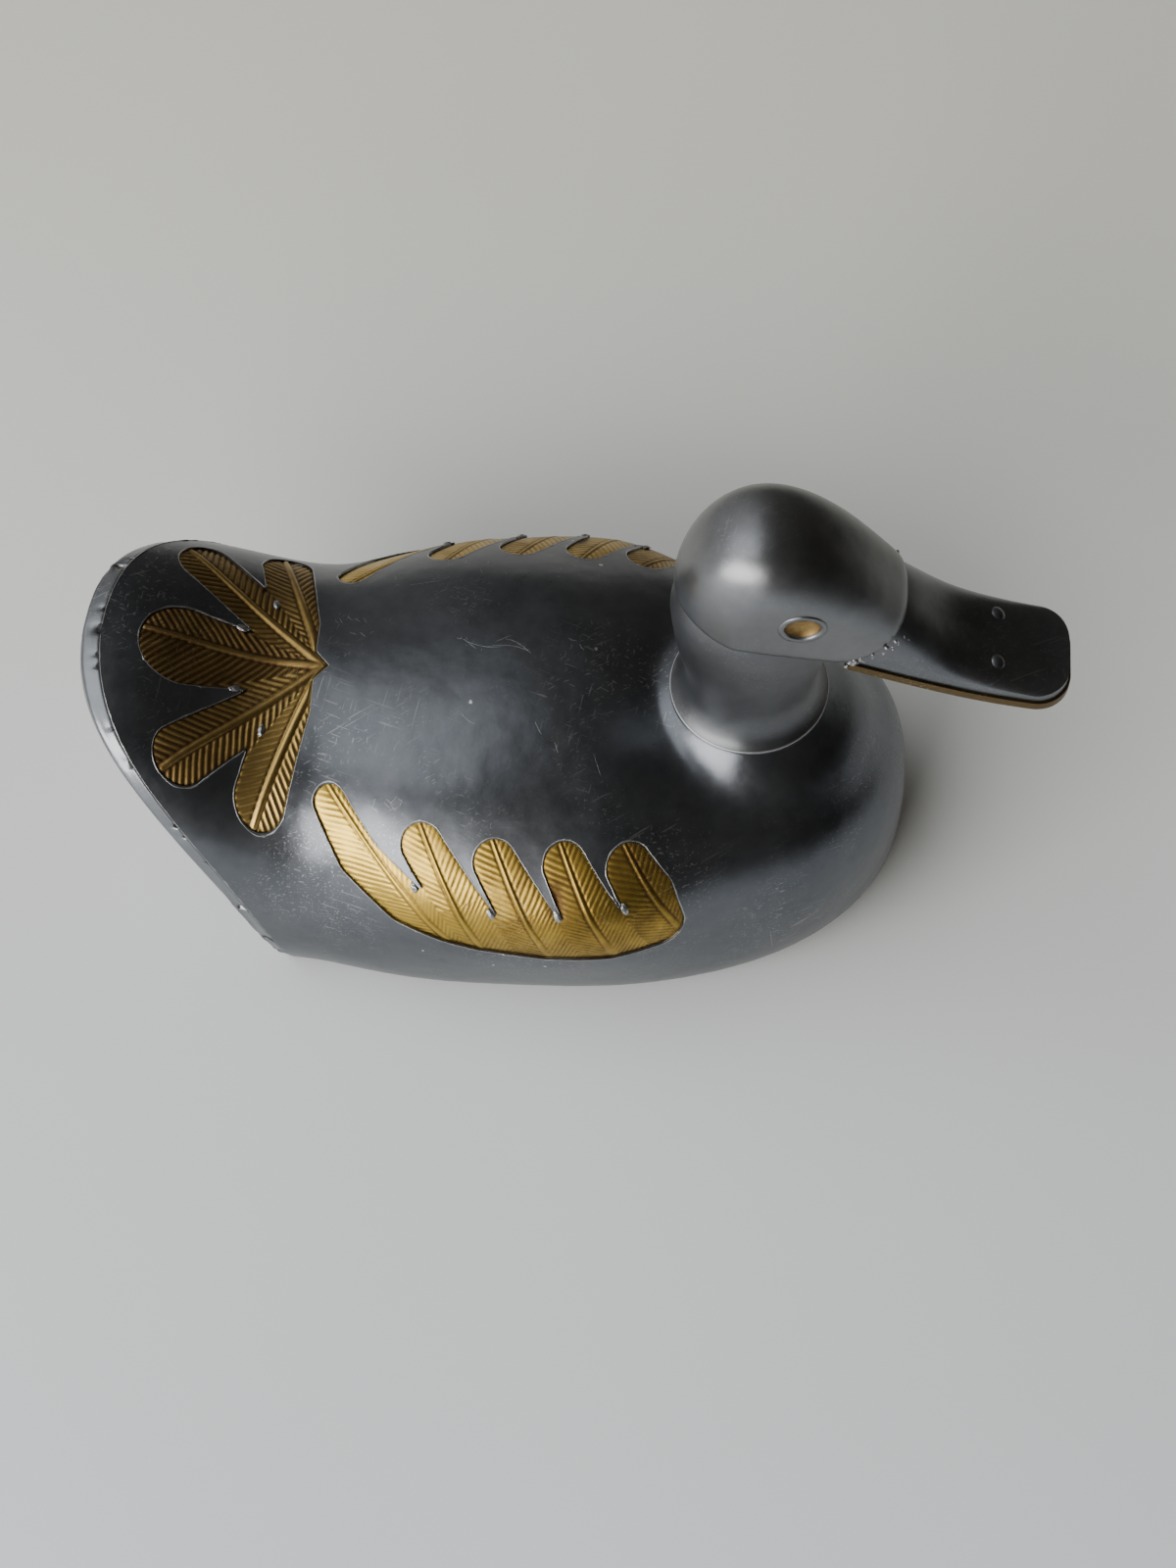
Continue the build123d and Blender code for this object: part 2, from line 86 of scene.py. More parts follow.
# %% Camera
FRAME_HIGH_PX = 1600
FOCAL_PX = 3500
TARGET = Vector((22, -18.2, 45)) * MM
DISTANCE = 887 * MM
AZIMUTH = math.radians(3.45)
ELEVATION = math.radians(60.9)

to_camera = Vector((
    math.sin(AZIMUTH) * math.cos(ELEVATION),
    -math.cos(AZIMUTH) * math.cos(ELEVATION),
    math.sin(ELEVATION),
))
camera_data = bpy.data.cameras.new("camera")
camera_data.sensor_fit = "VERTICAL"
camera_data.sensor_height = 36
camera_data.sensor_width = 36
camera_data.lens = FOCAL_PX / FRAME_HIGH_PX * camera_data.sensor_height
camera_data.clip_start = 0.01
camera = add_object("camera", camera_data)
camera.location = TARGET + to_camera * DISTANCE
camera.rotation_mode = "QUATERNION"
camera.rotation_quaternion = (-to_camera).to_track_quat("-Z", "Y")
bpy.context.scene.camera = camera
print("lens", round(camera_data.lens, 2), "mm")

# %% [markdown]
# ## Helpers for finishes
# A finish is a small network of nodes. Short helpers add a node with its sockets filled
# in, start a material, mix colours and do sums, so that each network stays readable.

# %% Node helpers
def fill(tree, node, **sockets):
    """Give sockets, by name or number, a value or another node's output."""
    for name, value in sockets.items():
        socket = node.inputs[int(name[1:]) if name[0] == "_" else name.replace("_", " ")]
        if isinstance(value, bpy.types.NodeSocket):
            tree.links.new(value, socket)
        else:
            socket.default_value = value


def put(tree, kind, settings=None, **sockets):
    """Add a node with its settings and sockets."""
    node = tree.nodes.new(kind)
    for name, value in (settings or {}).items():
        setattr(node, name, value)
    fill(tree, node, **sockets)
    return node


def start_material(name, metallic, roughness):
    """A material with one shader, ready for nodes."""
    material = bpy.data.materials.new(name)
    material.use_nodes = True
    tree = material.node_tree
    shader = tree.nodes["Principled BSDF"]
    fill(tree, shader, Metallic=metallic, Roughness=roughness)
    return material, tree, shader


def ramp(tree, value, stops):
    """Colour ramp with stops of (place, grey or colour)."""
    node = put(tree, "ShaderNodeValToRGB", Fac=value)
    elements = node.color_ramp.elements
    while len(elements) < len(stops):
        elements.new(1.0)
    for element, (place, colour) in zip(elements, stops):
        element.position = place
        element.color = (*colour, 1) if isinstance(colour, tuple) else (colour, colour, colour, 1)
    return node.outputs["Color"]


def blend(tree, kind, amount, first, second):
    """Mix two colours."""
    settings = {"data_type": "RGBA", "blend_type": kind}
    return put(tree, "ShaderNodeMix", settings, _0=amount, _6=first, _7=second).outputs[2]


def spot(tree):
    """Place of the shaded point on its object."""
    return put(tree, "ShaderNodeTexCoord").outputs["Object"]


def sums(tree, kind, first, second, clamp=False):
    """One arithmetic step, kept between 0 and 1 if clamped."""
    settings = {"operation": kind, "use_clamp": clamp}
    return put(tree, "ShaderNodeMath", settings, _0=first, _1=second).outputs[0]


def start_group(name, inputs, outputs):
    """A node group with float inputs and named outputs."""
    group = bpy.data.node_groups.new(name, "ShaderNodeTree")
    for label, value in inputs:
        socket = group.interface.new_socket(label, in_out="INPUT", socket_type="NodeSocketFloat")
        socket.default_value = value
    for label, kind in outputs:
        group.interface.new_socket(label, in_out="OUTPUT", socket_type=kind)
    return group, group.nodes.new("NodeGroupInput"), group.nodes.new("NodeGroupOutput")


def use_group(tree, group, **values):
    """Place a group in a material with its own values."""
    return put(tree, "ShaderNodeGroup", {"node_tree": group}, **values).outputs[0]

# %% [markdown]
# ## Shared effects
# Old pewter is never one grey. It has clouds of tarnish, hairline scratches, pale specks
# and a surface left uneven by the hammer. Each effect is a node group, which every metal
# uses with its own values.

# %% Tarnish clouds
FLOAT = "NodeSocketFloat"
tarnish, t_in, t_out = start_group(
    "Tarnish clouds", [("Scale", 30.0), ("Contrast", 1.0)], [("Mask", FLOAT)])
place = spot(tarnish)
wide = put(tarnish, "ShaderNodeTexNoise", Vector=place, Scale=t_in.outputs["Scale"],
           Detail=6.0, Roughness=0.62, Distortion=0.4)
fine_scale = sums(tarnish, "MULTIPLY", t_in.outputs["Scale"], 7.3)
fine = put(tarnish, "ShaderNodeTexNoise", Vector=place, Scale=fine_scale, Detail=4.0, Roughness=0.7)
both = sums(tarnish, "ADD", wide.outputs[0], sums(tarnish, "MULTIPLY", fine.outputs[0], 0.45))
both = sums(tarnish, "SUBTRACT", both, 0.72)
both = sums(tarnish, "MULTIPLY", both, t_in.outputs["Contrast"])
fill(tarnish, t_out, Mask=sums(tarnish, "ADD", both, 0.5, clamp=True))
print("group", tarnish.name)

# %% Hairline scratches
scratches, s_in, s_out = start_group(
    "Hairline scratches", [("Amount", 1.0), ("Fineness", 2300.0)], [("Mask", FLOAT)])
place = spot(scratches)
patchy = put(scratches, "ShaderNodeTexNoise", Vector=place, Scale=38.0, Detail=2.0)
patchy = ramp(scratches, patchy.outputs[0], [(0.45, 0.0), (0.66, 1.0)])
SCRATCH_TURNS = [(0.1, 0.0, 0.35), (-0.1, 0.15, 1.75), (0.3, -0.1, 2.55), (0.0, 0.2, -0.55)]
lines = None
for turn, edge in zip(SCRATCH_TURNS, (0.735, 0.745, 0.74, 0.75)):
    turned = put(scratches, "ShaderNodeMapping", Vector=place, Rotation=turn)
    drawn = put(scratches, "ShaderNodeVectorMath", {"operation": "MULTIPLY"},
                _0=turned.outputs[0], _1=(0.035, 1.0, 1.0))
    streak = put(scratches, "ShaderNodeTexNoise", Vector=drawn.outputs[0],
                 Scale=s_in.outputs["Fineness"], Detail=0.0)
    thin = ramp(scratches, streak.outputs[0], [(edge, 0.0), (edge + 0.05, 1.0)])
    lines = thin if lines is None else blend(scratches, "LIGHTEN", 1.0, lines, thin)
kept = blend(scratches, "MULTIPLY", 1.0, lines, patchy)
kept = sums(scratches, "MULTIPLY", kept, s_in.outputs["Amount"])
fill(scratches, s_out, Mask=kept)
print("group", scratches.name, "with", len(SCRATCH_TURNS), "directions")

# %% Pale specks
specks, p_in, p_out = start_group(
    "Pale specks", [("Scale", 95.0), ("Share", 0.3), ("Size", 0.045)], [("Mask", FLOAT)])
place = spot(specks)
shaken = put(specks, "ShaderNodeTexNoise", Vector=place, Scale=900.0, Detail=1.0)
shaken = put(specks, "ShaderNodeVectorMath", {"operation": "SCALE"},
             _0=shaken.outputs["Color"], Scale=0.0009)
shaken = put(specks, "ShaderNodeVectorMath", {"operation": "ADD"}, _0=place, _1=shaken.outputs[0])
cells = put(specks, "ShaderNodeTexVoronoi", Vector=shaken.outputs[0], Scale=p_in.outputs["Scale"])
near = sums(specks, "LESS_THAN", cells.outputs["Distance"], p_in.outputs["Size"])
split = put(specks, "ShaderNodeSeparateColor", Color=cells.outputs["Color"])
chosen = sums(specks, "LESS_THAN", split.outputs[0], p_in.outputs["Share"])
fill(specks, p_out, Mask=sums(specks, "MULTIPLY", near, chosen))
print("group", specks.name)

# %% Hand-beaten unevenness
beaten, b_in, b_out = start_group("Beaten surface", [("Scale", 60.0)], [("Height", FLOAT)])
place = spot(beaten)
broad = put(beaten, "ShaderNodeTexNoise", Vector=place, Scale=b_in.outputs["Scale"], Detail=2.0)
close_scale = sums(beaten, "MULTIPLY", b_in.outputs["Scale"], 9.0)
close = put(beaten, "ShaderNodeTexNoise", Vector=place, Scale=close_scale, Detail=3.0)
level = sums(beaten, "ADD", broad.outputs[0], sums(beaten, "MULTIPLY", close.outputs[0], 0.06))
fill(beaten, b_out, Height=level)
print("group", beaten.name)

# %% [markdown]
# ## Pewter
# Pewter mirrors its surroundings, tinted by a dark, slightly blue grey. Tarnish moves
# both the grey and the roughness, scratches and specks are brighter, and the beaten
# surface bends the reflections a little.

# %% Pewter finishes
def make_pewter(name, dark, light, roughness, scale, scratch, share):
    """A pewter whose greys lie between dark and light."""
    material, tree, shader = start_material(name, 1.0, roughness)
    cloud = use_group(tree, tarnish, Scale=scale, Contrast=1.25)
    line = use_group(tree, scratches, Amount=scratch)
    speck = use_group(tree, specks, Share=share)
    grey = blend(tree, "MIX", cloud, (*dark, 1), (*light, 1))
    grey = blend(tree, "MIX", line, grey, (0.42, 0.42, 0.42, 1))
    grey = blend(tree, "MIX", speck, grey, (0.62, 0.61, 0.58, 1))
    rough = sums(tree, "ADD", sums(tree, "MULTIPLY", cloud, 0.14), roughness - 0.07)
    rough = sums(tree, "ADD", rough, sums(tree, "MULTIPLY", line, 0.12))
    height = use_group(tree, beaten, Scale=55.0)
    height = sums(tree, "SUBTRACT", height, sums(tree, "MULTIPLY", line, 0.02))
    bump = put(tree, "ShaderNodeBump", Strength=0.35, Distance=0.0012, Height=height)
    fill(tree, shader, Base_Color=grey, Roughness=rough, Normal=bump.outputs[0])
    return material


body_pewter = make_pewter("body pewter", (0.088, 0.095, 0.108), (0.18, 0.187, 0.2), 0.30, 26.0, 0.55, 0.35)
head_pewter = make_pewter("head pewter", (0.15, 0.153, 0.16), (0.25, 0.253, 0.258), 0.36, 34.0, 0.3, 0.2)
# The neck gets a darker, rougher copy of the head's pewter. Its darker grey is painted shade, which dims the
# highlight on the flare at its foot.
neck_pewter_painted_shade = make_pewter("neck pewter darkened for shade", (0.11, 0.113, 0.119), (0.18, 0.184, 0.19), 0.40, 34.0, 0.3, 0.2)
stern_pewter = make_pewter("stern pewter", (0.16, 0.168, 0.18), (0.30, 0.307, 0.32), 0.33, 30.0, 0.8, 0.3)
bill_pewter = make_pewter("bill pewter", (0.125, 0.131, 0.141), (0.22, 0.225, 0.235), 0.32, 45.0, 0.4, 0.55)
bright_pewter = make_pewter("worn bright pewter", (0.34, 0.34, 0.34), (0.62, 0.61, 0.6), 0.36, 120, 0.4, 0.2)
edge_pewter = make_pewter("edge pewter", (0.13, 0.133, 0.14), (0.56, 0.55, 0.54), 0.34, 150.0, 0.2, 0.1)
scratch_pewter = make_pewter("scratched pewter", (0.3, 0.305, 0.31), (0.6, 0.6, 0.59), 0.42, 200.0, 0.0, 0.0)
solder_pewter = make_pewter("solder", (0.14, 0.142, 0.145), (0.42, 0.415, 0.41), 0.5, 260.0, 0.0, 0.0)
print("pewters", [m.name for m in bpy.data.materials if "pewter" in m.name])

# %% [markdown]
# ## Brass
# The ridges of the embossed brass are rubbed bright, and its grooves keep brown tarnish.
# Each panel carries two numbers on its points: how deep the point lies in a groove, and
# how tarnished its feather is. The finish reads both and adds brown spots.

# %% Brass finishes
def make_brass(name, gold, brown, roughness):
    """Brass that browns with the painted numbers."""
    material, tree, shader = start_material(name, 1.0, roughness)
    groove = put(tree, "ShaderNodeAttribute", {"attribute_name": "groove"}).outputs["Fac"]
    age = put(tree, "ShaderNodeAttribute", {"attribute_name": "age"}).outputs["Fac"]
    cloud = use_group(tree, tarnish, Scale=85.0, Contrast=1.9)
    spot = use_group(tree, tarnish, Scale=210.0, Contrast=5.0)
    old = sums(tree, "MULTIPLY", sums(tree, "ADD", cloud, 0.25), age)
    old = sums(tree, "ADD", old, sums(tree, "MULTIPLY", groove, 0.62), clamp=True)
    colour = blend(tree, "MIX", old, (*gold, 1), (*brown, 1))
    stained = sums(tree, "MULTIPLY", spot, sums(tree, "MULTIPLY", age, 0.35))
    colour = blend(tree, "MIX", stained, colour, (0.07, 0.035, 0.018, 1))
    line = use_group(tree, scratches, Amount=0.25, Fineness=2900.0)
    colour = blend(tree, "MIX", line, colour, (0.9, 0.74, 0.42, 1))
    rough = sums(tree, "ADD", sums(tree, "MULTIPLY", old, 0.22), roughness)
    height = use_group(tree, beaten, Scale=180.0)
    bump = put(tree, "ShaderNodeBump", Strength=0.3, Distance=0.0004, Height=height)
    fill(tree, shader, Base_Color=colour, Roughness=rough, Normal=bump.outputs[0])
    return material


wing_brass = make_brass("wing brass", (0.60, 0.40, 0.075), (0.14, 0.082, 0.024), 0.25)
fan_brass = make_brass("fan brass", (0.50, 0.34, 0.11), (0.11, 0.065, 0.026), 0.30)
plain_brass = make_brass("plain brass", (0.58, 0.41, 0.15), (0.2, 0.12, 0.05), 0.30)
bill_brass = make_brass("bill brass", (0.13, 0.085, 0.035), (0.06, 0.04, 0.02), 0.45)
print("brasses", [m.name for m in bpy.data.materials if "brass" in m.name])

# %% [markdown]
# ## Hidden pieces
# The wooden cores, the steel pivot and the fibre washer are hidden, but get finishes too.

# %% Wood, steel and fibre
core_wood, tree, shader = start_material("core wood", 0.0, 0.6)
place = spot(tree)
long_grain = put(tree, "ShaderNodeMapping", Vector=place, Scale=(14, 160, 160))
grain = put(tree, "ShaderNodeTexNoise", Vector=long_grain.outputs[0], Scale=1.0, Detail=5.0)
browns = ramp(tree, grain.outputs[0], [(0.3, (0.25, 0.15, 0.08)), (0.7, (0.48, 0.33, 0.2))])
fill(tree, shader, Base_Color=browns)

turned_steel, tree, shader = start_material("turned steel", 1.0, 0.3)
cloud = use_group(tree, tarnish, Scale=300.0)
fill(tree, shader, Base_Color=ramp(tree, cloud, [(0.2, 0.42), (0.8, 0.6)]))

red_fibre, tree, shader = start_material("red fibre", 0.0, 0.7)
cloud = use_group(tree, tarnish, Scale=400.0)
reds = ramp(tree, cloud, [(0.2, (0.2, 0.09, 0.05)), (0.8, (0.34, 0.17, 0.1))])
fill(tree, shader, Base_Color=reds)
print("hidden finishes ready")

# %% Give every CAD node its finish
FINISHES = {
    body_pewter: ["back_shell", "base_plate"],
    stern_pewter: ["stern_plate"],
    head_pewter: ["head_shell"],
    neck_pewter_painted_shade: ["neck_sleeve"],
    bill_pewter: ["bill_upper"],
    bright_pewter: ["seat_ring"],
    plain_brass: ["neck_bush", "eye_right", "eye_left"],
    bill_brass: ["bill_lower"],
    wing_brass: ["wing_inlay_right", "wing_inlay_left"],
    fan_brass: ["tail_fan_inlay"],
    core_wood: ["body_core", "head_core"],
    red_fibre: ["thrust_washer"],
    turned_steel: ["pivot_bolt", "flat_washer", "spring_washer", "pivot_nut"]
    + ["base_screw_%d" % n for n in (1, 2, 3, 4)],
}
for material, names in FINISHES.items():
    for name in names:
        data = nodes[name].data
        data.materials.clear()
        data.materials.append(material)
print("dressed", sum(len(n) for n in FINISHES.values()), "nodes")

# %% [markdown]
# ## Finding the metal
# Several pieces have to lie exactly on the CAD surface. A search tree over a node's
# triangles answers the question where a ray meets it, from any side.

# %% Search trees
def metal(*names):
    """Search tree over CAD nodes, for casting rays."""
    shape = bmesh.new()
    for name in names:
        shape.from_mesh(nodes[name].data)
    tree = BVHTree.FromBMesh(shape)
    shape.free()
    return tree


shell = metal("back_shell")
print("search tree over the back shell ready")

# %% [markdown]
# ## Planes to draw feathers on
# A feather panel is easiest to draw flat, in millimetres along and across a view square
# onto the wing or straight down onto the tail. Rays dropped onto the CAD inlay give the
# metal's height, and a polynomial through the hits is rounder than the triangles.

# %% Drawing planes
RAYS_ALONG, RAYS_ACROSS = 110, 70
FAR_OUT = 160
DEGREE = 8
SINK = 0.5
LEAN = math.radians(25)


def slope_of(height, u, v, reach):
    """Slope of a height along and across."""
    return ((height(u + reach, v) - height(u - reach, v)) / (2 * reach),
            (height(u, v + reach) - height(u, v - reach)) / (2 * reach))


class Drawing:
    """A flat view of one curved CAD node, in millimetres."""

    def __init__(self, node, right, up, out, low, high):
        self.right, self.up, self.out = Vector(right), Vector(up), Vector(out)
        self.low, self.high = np.array(low), np.array(high)
        tree = metal(node)
        hits = []
        for u in np.linspace(low[0], high[0], RAYS_ALONG):
            for v in np.linspace(low[1], high[1], RAYS_ACROSS):
                start = (self.right * u + self.up * v + self.out * FAR_OUT) * MM
                place = tree.ray_cast(start, -self.out)[0]
                if place is not None:
                    hits.append((u, v, place.dot(self.out) / MM))
        hits = np.array(hits)
        terms = self.terms(hits[:, 0], hits[:, 1])
        self.weights = np.linalg.lstsq(terms, hits[:, 2], rcond=None)[0]
        self.miss = float(np.abs(terms @ self.weights - hits[:, 2]).max())

    def terms(self, u, v):
        a = (u - self.low[0]) / (self.high[0] - self.low[0]) * 2 - 1
        b = (v - self.low[1]) / (self.high[1] - self.low[1]) * 2 - 1
        powers = [(i, j) for i in range(DEGREE + 1) for j in range(DEGREE + 1 - i)]
        return np.stack([a**i * b**j for i, j in powers], axis=1)

    def height(self, u, v):
        return self.terms(u, v) @ self.weights

    def slopes(self, u, v):
        """Slope of the metal both ways, and the cosine of its lean."""
        slope_u, slope_v = slope_of(self.height, u, v, 0.05)
        return slope_u, slope_v, 1 / np.sqrt(1 + slope_u**2 + slope_v**2)

    def shell_lift(self, u, v):
        """How far the pewter shell stands above the brass beside it."""
        level = self.height(u, v)
        lifts = []
        for a, b, z in zip(u, v, level):
            start = (self.right * a + self.up * b + self.out * (z + 5)) * MM
            place = shell.ray_cast(start, -self.out, 9 * MM)[0]
            lifts.append(SINK if place is None else place.dot(self.out) / MM - z)
        return np.clip(np.array(lifts) * self.slopes(u, v)[2], 0.2, 0.9)

    def lay(self, shape):
        """Carry a drawn shape (along, across, height over the metal) onto the metal."""
        flat = np.array([v.co for v in shape.verts])
        u, v, lift = flat.T
        level = self.height(u, v)
        slope_u, slope_v, lean = self.slopes(u, v)
        u = u - slope_u * lean * lift
        v = v - slope_v * lean * lift
        level = level + lean * lift
        axes = np.array([self.right, self.up, self.out])
        for vert, place in zip(shape.verts, (np.stack([u, v, level], axis=1) @ axes) * MM):
            vert.co = place


wing_view = Drawing("wing_inlay_right", (1, 0, 0), (0, math.sin(LEAN), math.cos(LEAN)),
                    (0, -math.cos(LEAN), math.sin(LEAN)), (-48, -6), (50, 43))
fan_view = Drawing("tail_fan_inlay", (1, 0, 0), (0, 1, 0), (0, 0, 1), (-95, -45), (-44, 45))
print("largest miss of the fits, mm:", round(wing_view.miss, 3), round(fan_view.miss, 3))

# %% [markdown]
# ## Outlines
# Each feather is a few circles and the strips that join them, the same as in the CAD
# source. A signed distance says how far a point lies outside the outline, and its slope
# gives the way straight out, which the burrs need later.

# %% Outlines of wing and tail fan
WING_FEATHERS = [
    [(-42.6, 37.0, 4.4), (-34.4, 25.0, 6.0), (-22.0, 15.2, 6.4), (-10.8, 11.6, 6.8)],
    [(-18.4, 31.0, 5.6), (-2.2, 9.6, 6.7)],
    [(0.2, 28.9, 5.6), (13.9, 8.8, 7.4)],
    [(17.8, 29.3, 5.5), (29.8, 9.4, 7.6)],
    [(34.0, 28.8, 5.7), (39.0, 21.6, 6.6), (40.6, 12.6, 8.0)],
]
FAN_TIPS = [(-82.2, 0.0, 11.2), (-80.2, 28.5, 7.0), (-60.5, 34.6, 6.5),
            (-80.2, -28.5, 7.0), (-60.5, -34.6, 6.5)]
FAN_ROOTS = [(-60.0, 0.0, 7.6), (-61.5, 13.0, 6.0), (-55.2, 12.5, 6.0),
             (-61.5, -13.0, 6.0), (-55.2, -12.5, 6.0)]
FAN_FRONT = [(-45.5, 0), (-49.2, 4.17), (-49.2, 12.5), (-60, 12.5),
             (-60, -12.5), (-49.2, -12.5), (-49.2, -4.17)]
INLAY_FIT = 0.12


def beside(u, v, first, last):
    """Length of a line, and how far along it and to its side points lie."""
    run = math.hypot(last[0] - first[0], last[1] - first[1])
    du, dv = (last[0] - first[0]) / run, (last[1] - first[1]) / run
    return run, (u - first[0]) * du + (v - first[1]) * dv, (u - first[0]) * dv - (v - first[1]) * du


def strip(u, v, first, last):
    """Signed distance to two circles and the strip between them."""
    run, along, side = beside(u, v, first, last)
    across = np.abs(side)
    taper = (first[2] - last[2]) / run
    lean = math.sqrt(1 - taper**2)
    turn = along * lean - across * taper
    side = across * lean + along * taper - first[2]
    return np.where(turn < 0, np.hypot(across, along) - first[2],
                    np.where(turn > lean * run, np.hypot(across, along - run) - last[2], side))


def polygon(u, v, corners):
    """Signed distance to a closed polygon."""
    best = np.full(u.shape, 1e9)
    inside = np.zeros(u.shape, bool)
    for (u0, v0), (u1, v1) in zip(corners, corners[1:] + corners[:1]):
        du, dv = u1 - u0, v1 - v0
        along = np.clip(((u - u0) * du + (v - v0) * dv) / (du**2 + dv**2), 0, 1)
        best = np.minimum(best, np.hypot(u - u0 - along * du, v - v0 - along * dv))
        if v0 != v1:
            inside ^= ((v0 > v) != (v1 > v)) & (u < du * (v - v0) / dv + u0)
    return np.where(inside, -best, best)


def wing_outline(u, v):
    roots = [circles[-1] for circles in WING_FEATHERS]
    pairs = list(zip(roots, roots[1:]))
    for circles in WING_FEATHERS:
        pairs += zip(circles, circles[1:])
    return np.min([strip(u, v, a, b) for a, b in pairs], axis=0)


def fan_outline(u, v):
    lobes = [strip(u, v, a, b) for a, b in zip(FAN_ROOTS, FAN_TIPS)]
    return np.min(lobes + [polygon(u, v, FAN_FRONT)], axis=0)


def way_out(outline, u, v):
    """Direction straight out of an outline."""
    gu, gv = slope_of(outline, u, v, 0.02)
    size = np.maximum(np.hypot(gu, gv), 0.2)
    return gu / size, gv / size


print("outlines of", len(WING_FEATHERS), "wing feathers and", len(FAN_TIPS), "tail lobes")

# %% [markdown]
# ## Embossing
# Every feather has a midrib and slanting barbs. The wings are engraved: a rounded band
# between two fine lines, with thin grooves running out towards the tip. The tail is
# pressed from behind, so its rib is a ridge and its barbs are deep waves. Both follow
# from how far along a midrib a point lies, and how far to its side.

# %% Ribs and barbs
WING_RIBS = [((-13.2, 7.0), (-43.6, 41.2)), ((-4.5, 6.6), (-19.5, 36.4)), ((12.5, 6.6), (-0.9, 34.3)),
             ((28.5, 9.0), (16.2, 34.6)), ((45.8, 12.6), (32.4, 34.2))]
FAN_RIBS = [((-47.0, 0.2), (-91.0, 3.0)), ((-47.5, 0.6), (-85.2, 33.0)), ((-48.4, 3.2), (-62.0, 40.4)),
            ((-47.5, -0.4), (-85.2, -33.0)), ((-48.4, -3.2), (-62.0, -40.4))]


def along_ribs(u, v, ribs):
    """Nearest rib of each point, the way along it and the distance to its side."""
    found = []
    for root, tip in ribs:
        run, along, side = beside(u, v, root, tip)
        past = np.maximum(np.maximum(-along - 6, along - run), 0)
        found.append((np.hypot(side, past), along, side, along / run))
    order = np.argmin([f[0] for f in found], axis=0)
    pick = np.arange(len(u))
    return order, *[np.array([f[k] for f in found])[order, pick] for k in (1, 2, 3)]


def wobble(u, v, size, seed):
    """Smooth random number from -1 to 1."""
    return np.array([noise.noise(Vector((a / size, b / size, seed))) for a, b in zip(u, v)])


def engrave_wing(u, v):
    """Height, groove and age of the wing's brass."""
    feather, along, side, share = along_ribs(u, v, WING_RIBS)
    far = np.abs(side)
    shaken = along + 0.35 * wobble(u, v, 7.0, 3.0)
    pitch = np.where(share < 0.33, 1.45, 1.95)
    phase = (shaken - 0.95 * far) / pitch + 0.37 * feather + np.where(side > 0, 0.0, 0.3)
    off_line = np.abs(phase - np.round(phase)) * pitch * 0.72
    rib_half = 0.85 - 0.45 * np.clip(share, 0, 1)
    barb = np.exp(-((off_line / 0.24) ** 2)) * np.clip((far - rib_half) / 0.5, 0, 1)
    barb *= 0.65 + 0.5 * wobble(u, v, 4.0, 8.0)
    rib_line = np.exp(-(((far - rib_half - 0.12) / 0.26) ** 2)) * np.clip(share * 6 + 0.8, 0, 1)
    rib = np.clip(1 - (far / rib_half) ** 2, 0, 1)
    height = 0.12 * rib - 0.15 * barb - 0.17 * rib_line + 0.13 * wobble(u, v, 9.0, 1.0)
    groove = np.clip(barb + rib_line, 0, 1)
    age = np.array([0.12, 0.34, 0.5, 0.56, 0.72])[feather]
    age = age + 0.28 * np.clip(0.5 - share, 0, 1) * (feather == 0)
    lower = np.exp(-((np.maximum(v - 1.5, 0) / 4.0) ** 2))
    age = age + 0.3 * lower * np.exp(-(((u - 6) / 20) ** 2))
    chip = np.exp(-(((u - 16.0) / 1.6) ** 2) - ((v - 20.5) / 3.2) ** 2)
    return height - 0.22 * chip, np.clip(groove + chip, 0, 1), np.clip(age + chip, 0, 1.3)


def press_fan(u, v):
    """Height, groove and age of the tail's brass."""
    lobe, along, side, share = along_ribs(u, v, FAN_RIBS)
    far = np.abs(side)
    shaken = along + 0.3 * wobble(u, v, 6.0, 5.0)
    pitch = 2.05
    phase = (shaken - 0.85 * far) / pitch + np.where(side > 0, 0.0, 0.4) + 0.23 * lobe
    wave = 0.5 + 0.5 * np.cos(2 * np.pi * phase)
    rib_half = 1.15 - 0.35 * np.clip(share, 0, 1)
    clear = np.clip((far - rib_half) / 0.6, 0, 1)
    rib = np.clip(1 - (far / rib_half) ** 2, 0, 1) ** 0.7
    beside = np.exp(-(((far - rib_half - 0.15) / 0.3) ** 2))
    strength = 0.8 + 0.35 * wobble(u, v, 8.0, 2.0)
    height = 0.42 * rib + 0.36 * strength * clear * (wave**0.8 - 0.5) - 0.18 * beside
    height = height + 0.1 * wobble(u, v, 9.0, 4.0)
    groove = np.clip(clear * (1 - wave) ** 1.5 + 0.7 * beside, 0, 1)
    age = np.array([0.85, 0.55, 0.5, 0.62, 0.1])[lobe] + 0.35 * np.clip(share - 0.6, 0, 1) * (lobe == 3)
    return height, groove, age

# %% [markdown]
# ## Feather panels
# Each panel starts as a fine flat grid. Faces outside the outline are deleted, and the
# ragged edge is pulled onto it. Then the embossing lifts the points, and a copy extruded
# downwards gives the sheet its thickness. The left wing is the right one mirrored.

# %% Mesh helpers
def flat_points(verts):
    """Places along and across a drawing, as two arrays."""
    return np.array([v.co[:2] for v in verts]).T


def extrude_rim(shape, edges):
    """A new ring of points along some edges, and the ring's own edges."""
    made = bmesh.ops.extrude_edge_only(shape, edges=edges)["geom"]
    points = [g for g in made if isinstance(g, bmesh.types.BMVert)]
    return points, [g for g in made if isinstance(g, bmesh.types.BMEdge)]


def strip_rings(shape, count):
    """Extrude a loop of edges into a strip, and list its rings of points."""
    edges, rings = shape.edges[:], [shape.verts[:]]
    for _ in range(count):
        ring, edges = extrude_rim(shape, edges)
        rings.append(ring)
    return rings


def spread_rings(shape, edges, count):
    """Extrude a unit circle outwards into rings of radius 2, 3 and so on."""
    for number in range(1, count):
        ring, edges = extrude_rim(shape, edges)
        grow = (number + 1) / number
        bmesh.ops.scale(shape, verts=ring, vec=(grow, grow, 1))


